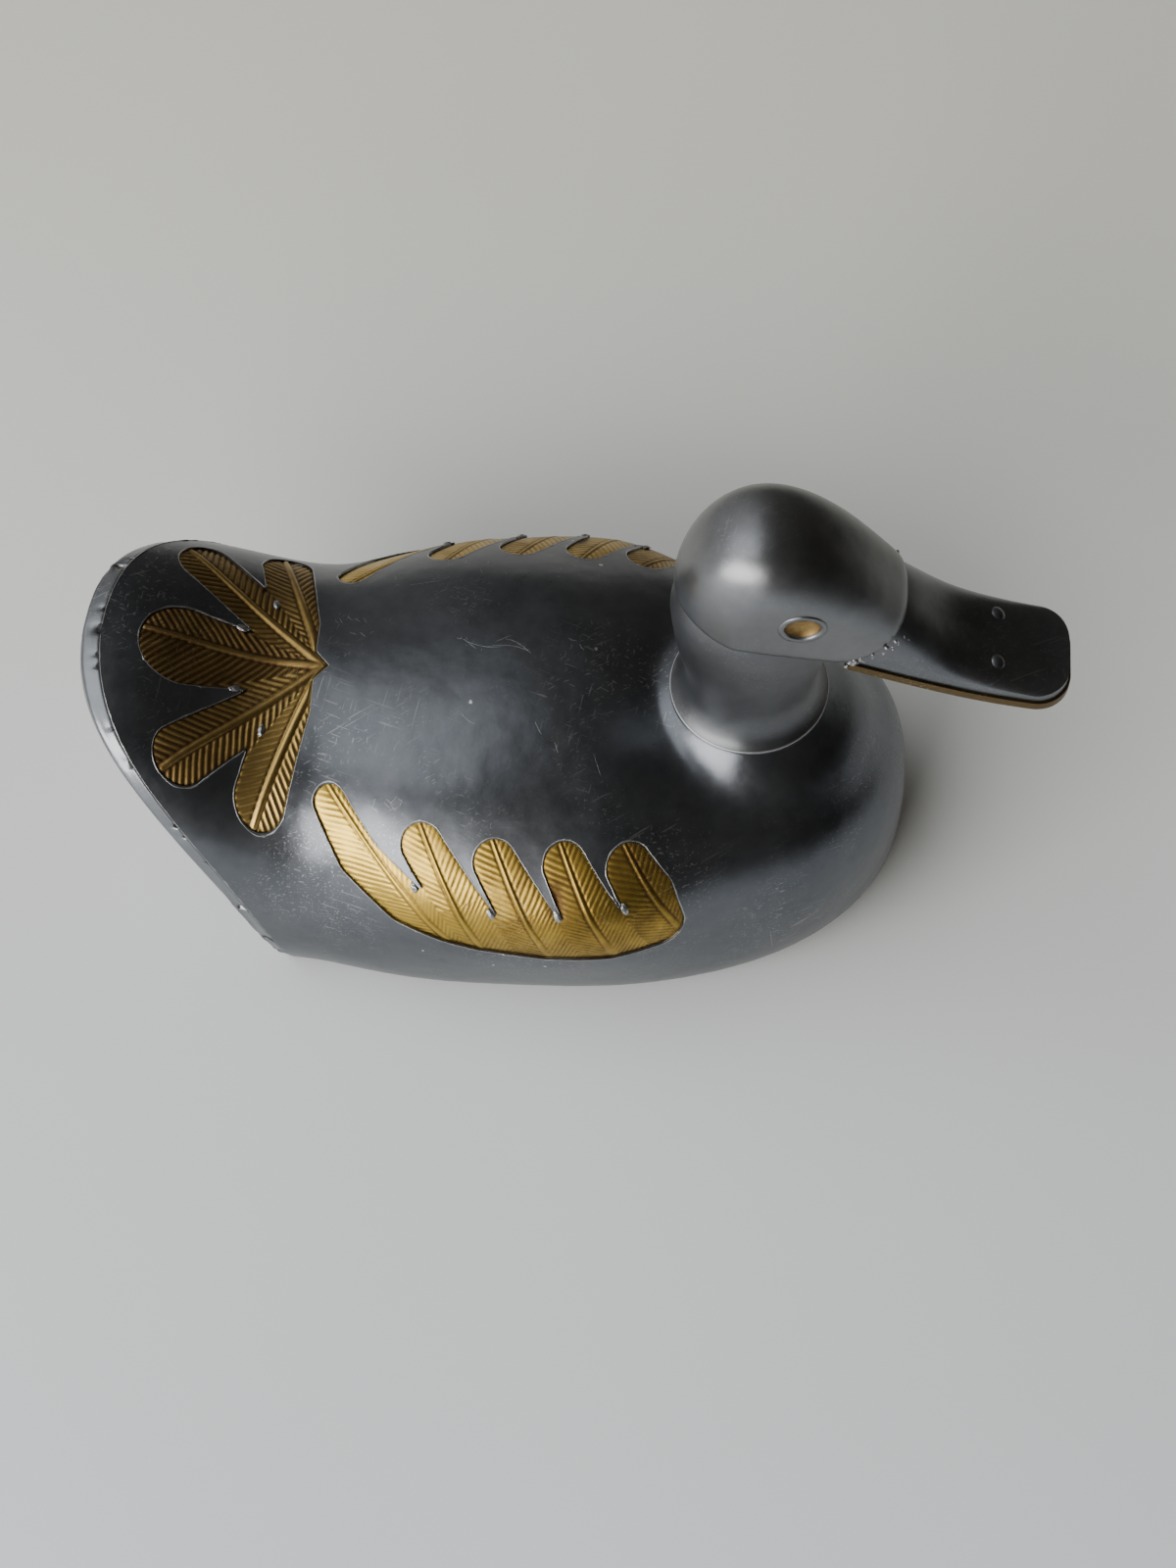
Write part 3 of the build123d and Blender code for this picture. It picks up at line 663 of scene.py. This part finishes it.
print("mesh helpers ready")

# %% Panel builder
PANEL_STEP = 0.3
PANEL_BACK = -0.95


def cut_grid(low, high, step, outline, inset):
    """Flat grid cut to an outline that is drawn in by inset."""
    shape = bmesh.new()
    size = (high[0] - low[0], high[1] - low[1], 1)
    bmesh.ops.create_grid(shape, x_segments=int(size[0] / step), y_segments=int(size[1] / step), size=0.5)
    bmesh.ops.scale(shape, vec=size, verts=shape.verts)
    bmesh.ops.translate(shape, vec=(low[0] + size[0] / 2, low[1] + size[1] / 2, 0), verts=shape.verts)
    inside = outline(*flat_points(shape.verts)) < -inset
    shape.verts.index_update()
    waste = [f for f in shape.faces if not any(inside[v.index] for v in f.verts)]
    bmesh.ops.delete(shape, geom=waste, context="FACES")
    for _ in range(3):
        u, v = flat_points(shape.verts)
        gap = outline(u, v) + inset
        gu, gv = way_out(outline, u, v)
        pull = np.where(gap > -0.09, gap, 0.0)
        for vert, a, b in zip(shape.verts, u - gu * pull, v - gv * pull):
            vert.co.x, vert.co.y = a, b
    bmesh.ops.remove_doubles(shape, verts=shape.verts, dist=0.03)
    return shape


def paint(shape, **values):
    """Store numbers on the points of a shape."""
    for name, numbers in values.items():
        layer = shape.verts.layers.float.new(name)
        for vert, number in zip(shape.verts, numbers):
            vert[layer] = number


def finish_piece(shape, name, material, body, replaced=None):
    """Turn a bmesh into a piece of the duck."""
    bmesh.ops.recalc_face_normals(shape, faces=shape.faces)
    for face in shape.faces:
        face.smooth = True
    data = bpy.data.meshes.new(name)
    shape.to_mesh(data)
    shape.free()
    data.materials.append(material)
    piece = add_object(name, data)
    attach(piece, body)
    if replaced:
        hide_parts(replaced)
    print(name, len(data.polygons), "faces")


def finish_pair(shape, name, material, body, replaced=""):
    """Finish a piece of the right side and its mirror image on the left."""
    other = shape.copy()
    bmesh.ops.scale(other, vec=(1, -1, 1), verts=other.verts)
    for half, word in ((other, "_left"), (shape, "_right")):
        finish_piece(half, name + word, material, body, replaced and replaced + word)


def feather_panel(view, outline, emboss, step):
    """Embossed brass panel, laid onto the metal."""
    shape = cut_grid(view.low, view.high, step, outline, INLAY_FIT)
    u, v = flat_points(shape.verts)
    height, groove, age = emboss(u, v)
    edge = outline(u, v) + INLAY_FIT
    height = height * np.clip(-edge / 0.5, 0.25, 1) - 0.16 * np.exp(edge / 0.45)
    groove = np.maximum(groove, 0.8 * np.exp(edge / 0.35))
    for vert, lift in zip(shape.verts, height):
        vert.co.z = lift
    paint(shape, groove=groove, age=age)
    for e in shape.edges:
        e.smooth = not e.is_boundary
    under = bmesh.ops.extrude_face_region(shape, geom=shape.faces[:], use_keep_orig=True)["geom"]
    for vert in under:
        if isinstance(vert, bmesh.types.BMVert):
            vert.co.z = PANEL_BACK
    view.lay(shape)
    return shape


wing = feather_panel(wing_view, wing_outline, engrave_wing, PANEL_STEP)
fan = feather_panel(fan_view, fan_outline, press_fan, PANEL_STEP)
finish_pair(wing, "feathers", wing_brass, "body", "wing_inlay")
finish_piece(fan, "feathers_tail", fan_brass, "body", "tail_fan_inlay")

# %% [markdown]
# ## Burrs round the openings
# The saw left a thin, uneven lip round each opening. The boundary of the same flat grid
# is extruded three times into a narrow strip, and every ring gets its own way out and
# height: down the wall, up to a ragged lip and back into the sheet.

# %% Burr rims
RIM_RINGS = 3
RIM_STEP = 0.35


def burr_rim(view, outline, seed):
    """Ragged lip of pewter round one opening, laid onto the shell."""
    shape = cut_grid(view.low, view.high, RIM_STEP, outline, 0.0)
    rim = {e for e in shape.edges if e.is_boundary}
    bmesh.ops.delete(shape, geom=[e for e in shape.edges if e not in rim], context="EDGES")
    bmesh.ops.delete(shape, geom=[v for v in shape.verts if not v.link_edges], context="VERTS")
    for number, ring in enumerate(strip_rings(shape, RIM_RINGS)):
        u, v = flat_points(ring)
        gu, gv = way_out(outline, u, v)
        top = view.shell_lift(u + 0.6 * gu, v + 0.6 * gv)
        coarse = wobble(u, v, 2.6, seed)
        fine = wobble(u, v, 0.9, seed + 5)
        ragged = np.clip(fine - 0.3, 0, 1) * np.clip(coarse + 0.4, 0, 1)
        lip = 0.04 + 0.07 * np.clip(coarse + 0.4, 0, 1) + 0.5 * ragged
        wide = 0.2 + 0.22 * np.clip(coarse + 0.5, 0, 1) + 0.9 * ragged
        out = (-0.05, -0.03 + 0.06 * fine, 0.45 * wide, wide)[number]
        lift = (top - 0.55, top + 0.6 * lip, top + lip, top - 0.06)[number]
        for vert, a, b, z in zip(ring, u + gu * out, v + gv * out, lift):
            vert.co = (a, b, z)
    view.lay(shape)
    return shape


wing_rim = burr_rim(wing_view, wing_outline, 11.0)
finish_pair(wing_rim, "wing_burr", edge_pewter, "body")
finish_piece(burr_rim(fan_view, fan_outline, 23.0), "tail_burr", edge_pewter, "body")

# %% [markdown]
# ## Solder at the ends of the tongues
# The tongue of pewter between two feathers ends in a drop of solder: a ball pressed
# flat, roughened with noise and turned along its tongue.

# %% Solder drops
WING_TONGUES = [(-20.0, 20.6, 125), (-0.3, 16.2, 118), (16.6, 17.2, 116), (33.4, 18.8, 112)]
FAN_TONGUES = [(-61.2, 18.8, 100), (-68.9, 9.0, 165), (-61.2, -18.8, 260), (-68.9, -9.0, 195)]


def solder_drops(view, places, seed):
    """Flattened rough balls at (along, across, direction in degrees)."""
    shape = bmesh.new()
    for number, (u, v, turn) in enumerate(places):
        ball = bmesh.ops.create_icosphere(shape, subdivisions=4, radius=1.0)["verts"]
        for vert in ball:
            lump = noise.noise(vert.co * 1.6 + Vector((seed, number, 0)))
            grit = noise.noise(vert.co * 5.0 + Vector((0, seed, number)))
            vert.co *= 1 + 0.3 * lump + 0.12 * grit
        top = view.shell_lift(np.array([u]), np.array([v]))[0]
        bmesh.ops.scale(shape, verts=ball, vec=(1.5, 0.85, 0.42))
        turned = Matrix.Rotation(math.radians(turn), 3, "Z")
        bmesh.ops.rotate(shape, verts=ball, cent=(0, 0, 0), matrix=turned)
        bmesh.ops.translate(shape, verts=ball, vec=(u, v, top - 0.02))
    view.lay(shape)
    return shape


wing_drops = solder_drops(wing_view, WING_TONGUES, 3.0)
finish_pair(wing_drops, "wing_solder", edge_pewter, "body")
finish_piece(solder_drops(fan_view, FAN_TONGUES, 9.0), "tail_solder", edge_pewter, "body")

# %% [markdown]
# ## The flare at the foot of the neck
# The real sheet sweeps up round the neck, where the CAD body has a crease. We lay a thin
# skin over it: rings of points dropped onto the shell and smoothed up and down, but
# never below the metal. The hollow fills and the crests stay where they are.

# %% Neck flare
ring_low, ring_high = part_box("seat_ring")
neck_middle = (ring_low + ring_high) / 2
ring_radius = (ring_high.y - ring_low.y) / 2
FLARE_SEGMENTS = 220
FLARE_RINGS = 60
FLARE_ROUNDS = 60
FLARE_IN = ring_radius + 0.25 * MM
SKIN = 0.03 * MM
ABOVE = 0.12
flare = bmesh.new()
bmesh.ops.create_circle(flare, cap_ends=False, radius=1.0, segments=FLARE_SEGMENTS)
spread_rings(flare, flare.edges[:], FLARE_RINGS)
for vert in flare.verts:
    angle = math.atan2(vert.co.y, vert.co.x)
    share = (vert.co.length - 1) / (FLARE_RINGS - 1)
    reach = (41.0 - math.cos(angle)) * MM
    radius = FLARE_IN + (reach - FLARE_IN) * share
    x = neck_middle.x + radius * math.cos(angle)
    y = radius * math.sin(angle)
    vert.co = shell.ray_cast(Vector((x, y, ABOVE)), Vector((0, 0, -1)))[0]
floor_of_skin = [v.co.z for v in flare.verts]
inside = [v for v in flare.verts if not v.is_boundary]
for _ in range(FLARE_ROUNDS):
    for _ in range(4):
        bmesh.ops.smooth_vert(flare, verts=inside, factor=0.5, use_axis_z=True)
    for vert, level in zip(flare.verts, floor_of_skin):
        vert.co.z = max(vert.co.z, level)
raised = max(v.co.z - level for v, level in zip(flare.verts, floor_of_skin))
for _ in range(5):
    bmesh.ops.smooth_vert(flare, verts=inside, factor=0.5, use_axis_z=True)
for vert in flare.verts:
    vert.co.z += SKIN
print("the flare fills the crease by", round(raised / MM, 2), "mm")
finish_piece(flare, "neck_flare", body_pewter, "body")

# %% [markdown]
# ## Soft skins
# The CAD stern and head have sharp edges, and a silversmith rounds every one. Seen from
# a point inside, each spot of such a piece lies in its own direction. So we cast rays
# inwards, find where the piece ends by stepping and halving, and fill in rings of points.
# Smoothing with a fixed boundary rounds the edges, and the skin stays clear of the wood.

# %% Skin builder
RAY_START = 0.14


class Skin:
    """Star-shaped smooth skin over the outside of one CAD node."""

    def __init__(self, node, rivals, core, eye, pole, segments, rings, discs=(), steady=0):
        self.own, self.rival, self.core = metal(node), metal(*rivals), metal(core)
        self.eye, self.pole = Vector(eye) * MM, Vector(pole).normalized()
        self.across = self.pole.orthogonal().normalized()
        self.beyond = self.pole.cross(self.across)
        self.discs = discs
        self.rolls = [2 * math.pi * i / segments for i in range(segments)]
        found = [self.end(roll) for roll in self.rolls]
        window = range(-steady, steady + 1)
        self.ends = [sorted(found[(i + k) % segments] for k in window)[steady] for i in range(segments)]
        self.shape = bmesh.new()
        bmesh.ops.create_circle(self.shape, cap_ends=True, cap_tris=True, radius=1.0, segments=segments)
        spread_rings(self.shape, self.rim(), rings)
        for vert in self.shape.verts:
            number = self.segment(vert)
            vert.co = self.place(self.way(self.rolls[number], self.ends[number] * vert.co.length / rings))

    def segment(self, vert):
        """Number of the spoke that a point of the flat disc lies on."""
        count = len(self.rolls)
        return round(math.atan2(vert.co.y, vert.co.x) / (2 * math.pi) * count) % count

    def way(self, roll, opening):
        """Direction from the eye, away from the pole by an opening angle."""
        side = self.across * math.cos(roll) + self.beyond * math.sin(roll)
        return self.pole * math.cos(opening) + side * math.sin(opening)

    def on_disc(self, way):
        """Place on a flat disc that closes a hole, if the direction meets one."""
        for middle, look, radius in self.discs:
            place = self.eye + way * ((middle - self.eye).dot(look) / way.dot(look))
            if way.dot(look) > 0 and (place - middle).length < radius:
                return place
        return None

    def hit(self, tree, way):
        """What a ray from far outside towards the eye meets first."""
        return tree.ray_cast(self.eye + way * RAY_START, -way)

    def place(self, way):
        """Outermost place on the node in that direction."""
        found = self.on_disc(way) or self.hit(self.own, way)[0]
        return found or self.own.find_nearest(self.eye + way * 0.04)[0]

    def owned(self, way):
        """True where the node is the first metal met from outside."""
        if self.on_disc(way):
            return True
        far = self.hit(self.own, way)[3]
        other = self.hit(self.rival, way)[3]
        return far is not None and (other is None or far <= other)

    def end(self, roll):
        """Opening angle at which the node ends."""
        step = math.radians(1.5)
        inner = 0.0
        while inner < math.pi - step and self.owned(self.way(roll, inner + step)):
            inner += step
        outer = inner + step
        for _ in range(12):
            middle = (inner + outer) / 2
            if self.owned(self.way(roll, middle)):
                inner = middle
            else:
                outer = middle
        return inner

    def edge_line(self):
        return [self.place(self.way(roll, end)) for roll, end in zip(self.rolls, self.ends)]

    def clear_core(self, clear):
        """Push points out of the wood."""
        for vert in self.shape.verts:
            far = (vert.co - self.eye).length
            way = (vert.co - self.eye) / far
            wood = self.hit(self.core, way)[0]
            if wood is not None and far < (wood - self.eye).length + clear:
                vert.co = wood + way * clear

    def rim(self):
        return [e for e in self.shape.edges if e.is_boundary]

    def turn_in(self, depth):
        """Turn the boundary in towards the eye."""
        for vert in extrude_rim(self.shape, self.rim())[0]:
            vert.co += (self.eye - vert.co).normalized() * depth

    def soften(self, rounds, steps, clear):
        """Smooth the skin in rounds, clear of the wood, with its boundary kept."""
        inside = [v for v in self.shape.verts if not v.is_boundary]
        for _ in range(rounds):
            for _ in range(steps):
                bmesh.ops.smooth_vert(self.shape, verts=inside, factor=0.5,
                                      use_axis_x=True, use_axis_y=True, use_axis_z=True)
            self.clear_core(clear)
        bmesh.ops.recalc_face_normals(self.shape, faces=self.shape.faces)


print("skin builder ready")

# %% [markdown]
# ## The stern cap
# The cap that closes the stern has soft edges. Its boundary is turned inwards, so that
# the seam has depth.

# %% Stern cap
CAP_SEGMENTS = 480
CAP_RINGS = 90
stern = Skin("stern_plate", ("back_shell", "base_plate"), "body_core", (-66, 0, 42), (-0.9, 0, -0.44),
             CAP_SEGMENTS, CAP_RINGS, steady=4)
seam_line = stern.edge_line()
stern.soften(8, 7, 0.8 * MM)
stern.turn_in(1.2 * MM)
finish_piece(stern.shape, "stern_cap", stern_pewter, "body", "stern_plate")

# %% [markdown]
# ## The burr along the stern seam
# The back sheet ends in a crisp edge over the cap, with burrs that catch the light.

# %% Stern burr
LOWEST_BURR = 6 * MM
burr = bmesh.new()
bmesh.ops.create_circle(burr, cap_ends=False, radius=1.0, segments=CAP_SEGMENTS)
for number, row in enumerate(strip_rings(burr, 2)):
    for vert in row:
        place = seam_line[stern.segment(vert)]
        out = (place - stern.eye).normalized()
        ahead = Vector((1, 0, 0)) - out * out.x
        jag = noise.noise(place / (2.0 * MM)) + 0.5 * noise.noise(place / (0.7 * MM))
        lip = (0.05 + 0.16 * max(jag, 0)) * MM
        wide = (0.2 + 0.35 * max(jag, 0)) * MM
        step = (-0.12 * MM, 0.0, wide)[number]
        rise = (-0.25 * MM, lip, -0.04 * MM)[number]
        vert.co = place + ahead.normalized() * step + out * rise
bmesh.ops.delete(burr, geom=[v for v in burr.verts if v.co.z < LOWEST_BURR], context="VERTS")
finish_piece(burr, "stern_burr", edge_pewter, "body")

# %% [markdown]
# ## Eyelets
# Each eye is a thin pewter rim round a shallow brass dish, a turned shape. We draw half
# of its profile and spin it. The CAD eyelet tells where it goes: the middle of its
# points, and the way it looks.

# %% Eyelets
CHEEK_YAW = math.radians(5)
CHEEK_LEAN = math.radians(-2)
RIM_PROFILE = [(6.0, -0.3), (5.95, 0.12), (5.7, 0.34), (5.2, 0.42), (4.75, 0.36), (4.4, 0.1), (4.3, -0.5)]
DISH_PROFILE = [(4.45, -0.25), (4.2, -0.55), (3.6, -1.05), (2.6, -1.5), (1.3, -1.75), (0.0, -1.82)]
CAD_RIM = 0.9


def turn_profile(profile, segments):
    """Spin half a profile of (radius, height) into a closed round."""
    shape = bmesh.new()
    points = [shape.verts.new((r * MM, 0, z * MM)) for r, z in profile]
    lines = [shape.edges.new(pair) for pair in zip(points, points[1:])]
    bmesh.ops.spin(shape, geom=points + lines, cent=(0, 0, 0), axis=(0, 0, 1), angle=2 * math.pi,
                   steps=segments, use_merge=True)
    bmesh.ops.remove_doubles(shape, verts=shape.verts, dist=0.01 * MM)
    return shape


def eye_middle(node, look):
    """Middle of a CAD eyelet, on the cheek."""
    points = np.array([v.co for v in nodes[node].data.vertices])
    middle = Vector((points.min(axis=0) + points.max(axis=0)) / 2)
    foot = (points @ np.array(look)).max() - CAD_RIM * MM
    return middle + look * (foot - middle.dot(look))


eyes = []
for word, side in (("right", 1), ("left", -1)):
    look = Vector((math.sin(CHEEK_YAW) * math.cos(CHEEK_LEAN),
                   -side * math.cos(CHEEK_YAW) * math.cos(CHEEK_LEAN), math.sin(CHEEK_LEAN)))
    middle = eye_middle("eye_" + word, look)
    eyes.append((middle, look))
    rim = turn_profile(RIM_PROFILE, 72)
    for vert in rim.verts:
        vert.co.z += 0.05 * MM * noise.noise(vert.co / (1.6 * MM))
    dish = turn_profile(DISH_PROFILE, 72)
    depth = np.array([-v.co.z / MM for v in dish.verts])
    paint(dish, groove=np.clip(0.8 - depth * 0.5, 0, 1), age=np.full(len(depth), 0.85))
    for shape in (rim, dish):
        turn = look.to_track_quat("Z", "Y").to_matrix()
        bmesh.ops.rotate(shape, verts=shape.verts, cent=(0, 0, 0), matrix=turn)
        bmesh.ops.translate(shape, verts=shape.verts, vec=middle)
    finish_piece(rim, "eye_rim_" + word, head_pewter, "head")
    finish_piece(dish, "eye_dish_" + word, plain_brass, "head", "eye_" + word)

# %% [markdown]
# ## The seam at the foot of the neck
# A thin bright line shows where the head turns on the body. It is a fine bead, a circle
# spun round the middle of the neck.

# %% Bright bead at the neck seam
BEAD = 0.32
turns = np.linspace(0, 2 * math.pi, 13)
bead_line = [(ring_radius / MM + BEAD * math.cos(a), BEAD * math.sin(a)) for a in turns]
bead = turn_profile(bead_line, 160)
bmesh.ops.translate(bead, verts=bead.verts, vec=(neck_middle.x, 0, ring_high.z - 0.1 * MM))
finish_piece(bead, "neck_bead", scratch_pewter, "body")

# %% [markdown]
# ## The head
# The cheeks of the real head are flat, but their edges are rubbed soft. The same kind of
# skin does it. The holes for the eyes are closed with flat discs while it is smoothed,
# and opened again afterwards, hidden under the rims.

# %% Head skin
EYE_DISC = 5.6 * MM
EYE_HOLE = 4.9 * MM
HEAD_SEGMENTS = 220
HEAD_RINGS = 100
head_skin = Skin("head_shell", ("neck_sleeve", "bill_upper", "bill_lower"), "head_core",
                 (66, 0, 118), (0, 0, 1), HEAD_SEGMENTS, HEAD_RINGS,
                 [(middle, look, EYE_DISC) for middle, look in eyes])
head_skin.soften(4, 6, 0.25 * MM)
holes = []
for face in head_skin.shape.faces:
    for middle, look in eyes:
        away = face.calc_center_median() - middle
        if away.length < EYE_DISC and (away - look * away.dot(look)).length < EYE_HOLE:
            holes.append(face)
bmesh.ops.delete(head_skin.shape, geom=holes, context="FACES")
head_skin.turn_in(0.8 * MM)
finish_piece(head_skin.shape, "head_skin", head_pewter, "head", "head_shell")

# %% [markdown]
# ## Marks that a picture shows
# The places of the scratches and of the rough solder under the bill can only be read
# from the picture. A pixel and the camera give a ray, which meets the metal at the mark.
# The mark itself lies on the metal in millimetres, so it holds from every side.

# %% Rays through pixels
FRAME_WIDE_PX = 1200
whole = metal("back_shell", "head_shell", "neck_sleeve", "bill_upper", "bill_lower")
axes = camera.rotation_quaternion.to_matrix()
to_right, to_up = axes.col[0], axes.col[1]


def through_pixel(x, y):
    """Place and normal where the ray through a pixel meets the metal."""
    across = (x - FRAME_WIDE_PX / 2) / FOCAL_PX
    down = (y - FRAME_HIGH_PX / 2) / FOCAL_PX
    way = (to_right * across - to_up * down - to_camera).normalized()
    place, normal, _, _ = whole.ray_cast(camera.location, way)
    return place, normal


def ribbon(shape, path, width, lift):
    """Thin strip along a path of (place, normal), pointed at both ends."""
    left = []
    for number, (place, normal) in enumerate(path):
        before = path[max(number - 1, 0)][0]
        after = path[min(number + 1, len(path) - 1)][0]
        side = (after - before).cross(normal).normalized()
        taper = math.sin(math.pi * (number + 0.35) / (len(path) - 0.3)) ** 0.5
        half = side * width * taper / 2
        left.append((place - half - normal * lift, place + normal * lift, place + half - normal * lift))
    rows = [[shape.verts.new(point) for point in row] for row in left]
    for row, after in zip(rows, rows[1:]):
        for k in (0, 1):
            shape.faces.new((row[k], row[k + 1], after[k + 1], after[k]))


def stroke(shape, first, last, width, bow=0.0, steps=8):
    """Scratch between two pixels, bowed sideways by some pixels."""
    path = []
    for i in range(steps + 1):
        t = i / steps
        side = bow * 4 * t * (1 - t)
        x = first[0] + (last[0] - first[0]) * t
        y = first[1] + (last[1] - first[1]) * t + side
        place, normal = through_pixel(x, y)
        if place is not None:
            path.append((place, normal))
    if len(path) > 2:
        ribbon(shape, path, width, 0.025 * MM)


print("rays through pixels ready")

# %% Scratches
LONG_SCRATCHES = [
    ((478, 655), (516, 659), 3), ((498, 660), (541, 665), -4), ((505, 655), (522, 648), 0),
    ((516, 652), (542, 667), -3), ((473, 652), (486, 662), 0), ((470, 727), (485, 739), 2),
    ((546, 736), (553, 750), 1), ((418, 597), (452, 592), 0), ((580, 651), (590, 654), 1),
    ((688, 806), (712, 803), -2), ((606, 770), (613, 792), 0), ((566, 757), (569, 768), 0),
    ((786, 949), (788, 966), 0), ((676, 790), (690, 800), 1),
]
SCRATCH_CLUSTERS = [((362, 640), 22, 9, 9), ((356, 628), 10, 6, 6), ((610, 652), 20, 6, 8),
                    ((392, 815), 20, 10, 12), ((478, 655), 14, 7, 5), ((500, 580), 24, 5, 6),
                    ((590, 577), 22, 5, 6), ((400, 595), 14, 5, 5), ((680, 870), 14, 5, 4)]
random.seed(5)
marks = bmesh.new()
for first, last, bow in LONG_SCRATCHES:
    stroke(marks, first, last, 0.17 * MM, bow)
for (x, y), spread, count, length in SCRATCH_CLUSTERS:
    for _ in range(count):
        a = x + random.uniform(-spread, spread)
        b = y + random.uniform(-spread, spread) * 0.5
        turn = random.choice((0.5, 2.1, 0.9, 2.6)) + random.uniform(-0.3, 0.3)
        reach = length * random.uniform(0.4, 1.0)
        end = (a + reach * math.cos(turn), b + reach * math.sin(turn))
        stroke(marks, (a, b), end, 0.12 * MM, random.uniform(-1, 1), 4)
finish_piece(marks, "scratches", scratch_pewter, "body")

# %% Solder under the bill
BILL_SOLDER = [(866, 680), (874, 677), (882, 674), (890, 671),
               (899, 667), (908, 662), (917, 657), (925, 651)]
random.seed(8)
lumps = bmesh.new()
for number, (x, y) in enumerate(BILL_SOLDER):
    for _ in range(3):
        place, normal = through_pixel(x + random.uniform(-4, 4), y + random.uniform(-2, 2))
        size = random.uniform(0.45, 0.95) * (1.15 - 0.08 * number) * MM
        ball = bmesh.ops.create_icosphere(lumps, subdivisions=3, radius=size)["verts"]
        for vert in ball:
            vert.co *= 1 + 0.35 * noise.noise(vert.co / (0.5 * MM) + Vector((x, y, 0)))
        bmesh.ops.translate(lumps, verts=ball, vec=place - normal * size * 0.8)
finish_pair(lumps, "bill_solder", solder_pewter, "head")

# %% [markdown]
# ## Floor and light
# The duck stands on a pale table. A large window stands behind its tail on our side, a
# cool skylight hangs above, and the room grows dark towards the bill. Dark metal shows
# its surroundings, so the size and place of the lamps matter more than their strength.

# %% Floor
mesh = bpy.data.meshes.new("floor")
shape = bmesh.new()
bmesh.ops.create_grid(shape, x_segments=1, y_segments=1, size=4.0)
bmesh.ops.translate(shape, verts=shape.verts, vec=(0, 0, cad_low.z))
shape.to_mesh(mesh)
shape.free()
floor = add_object("floor", mesh)
floor_paint, tree, shader = start_material("pale table", 0.0, 0.6)
place = spot(tree)
haze = put(tree, "ShaderNodeTexNoise", Vector=place, Scale=5.0, Detail=2.0)
shade = ramp(tree, haze.outputs[0], [(0.3, (0.95, 0.95, 0.95)), (0.7, (0.99, 0.99, 0.99))])
# The table's tint is painted light: cool blue in front, warm yellow at the back, at even brightness.
across = put(tree, "ShaderNodeSeparateXYZ", Vector=place).outputs["Y"]
depth = sums(tree, "ADD", sums(tree, "MULTIPLY", across, 2.2), 0.5)
painted_light_tint = ramp(tree, depth, [(0.0, (0.87, 0.915, 0.955)), (1.0, (0.93, 0.915, 0.84))])
fill(tree, shader, Base_Color=blend(tree, "MULTIPLY", 1.0, shade, painted_light_tint))
mesh.materials.append(floor_paint)
print("floor at", cad_low.z)

# %% Lamps and room
def hang_lamp(name, toward, distance, wide, high, power, colour):
    """Rectangular lamp in direction toward, aimed at the duck."""
    data = bpy.data.lights.new(name, "AREA")
    data.shape = "RECTANGLE"
    data.size = wide
    data.size_y = high
    data.energy = power
    data.color = colour
    lamp = add_object(name, data)
    direction = Vector(toward).normalized()
    lamp.location = Vector((0, 0, 0.05)) + direction * distance
    lamp.rotation_mode = "QUATERNION"
    lamp.rotation_quaternion = (-direction).to_track_quat("-Z", "Y")


hang_lamp("window", (-0.55, -0.72, 0.40), 1.5, 1.35, 0.8, 26.0, (1.0, 0.985, 0.96))
hang_lamp("skylight", (-0.54, 0.04, 0.84), 1.6, 1.5, 1.3, 9.5, (0.93, 0.97, 1.0))
world = bpy.data.worlds.new("room")
world.use_nodes = True
tree = world.node_tree
toward = put(tree, "ShaderNodeTexCoord").outputs["Generated"]
split = put(tree, "ShaderNodeSeparateXYZ", Vector=toward)
left_share = sums(tree, "ADD", sums(tree, "MULTIPLY", split.outputs["X"], -0.5), 0.5)
walls = ramp(tree, left_share, [
    (0.0, (0.016, 0.013, 0.01)), (0.5, (0.13, 0.125, 0.115)), (1.0, (0.72, 0.73, 0.74))])
fill(tree, tree.nodes["Background"], Color=walls, Strength=1.0)
bpy.context.scene.world = world
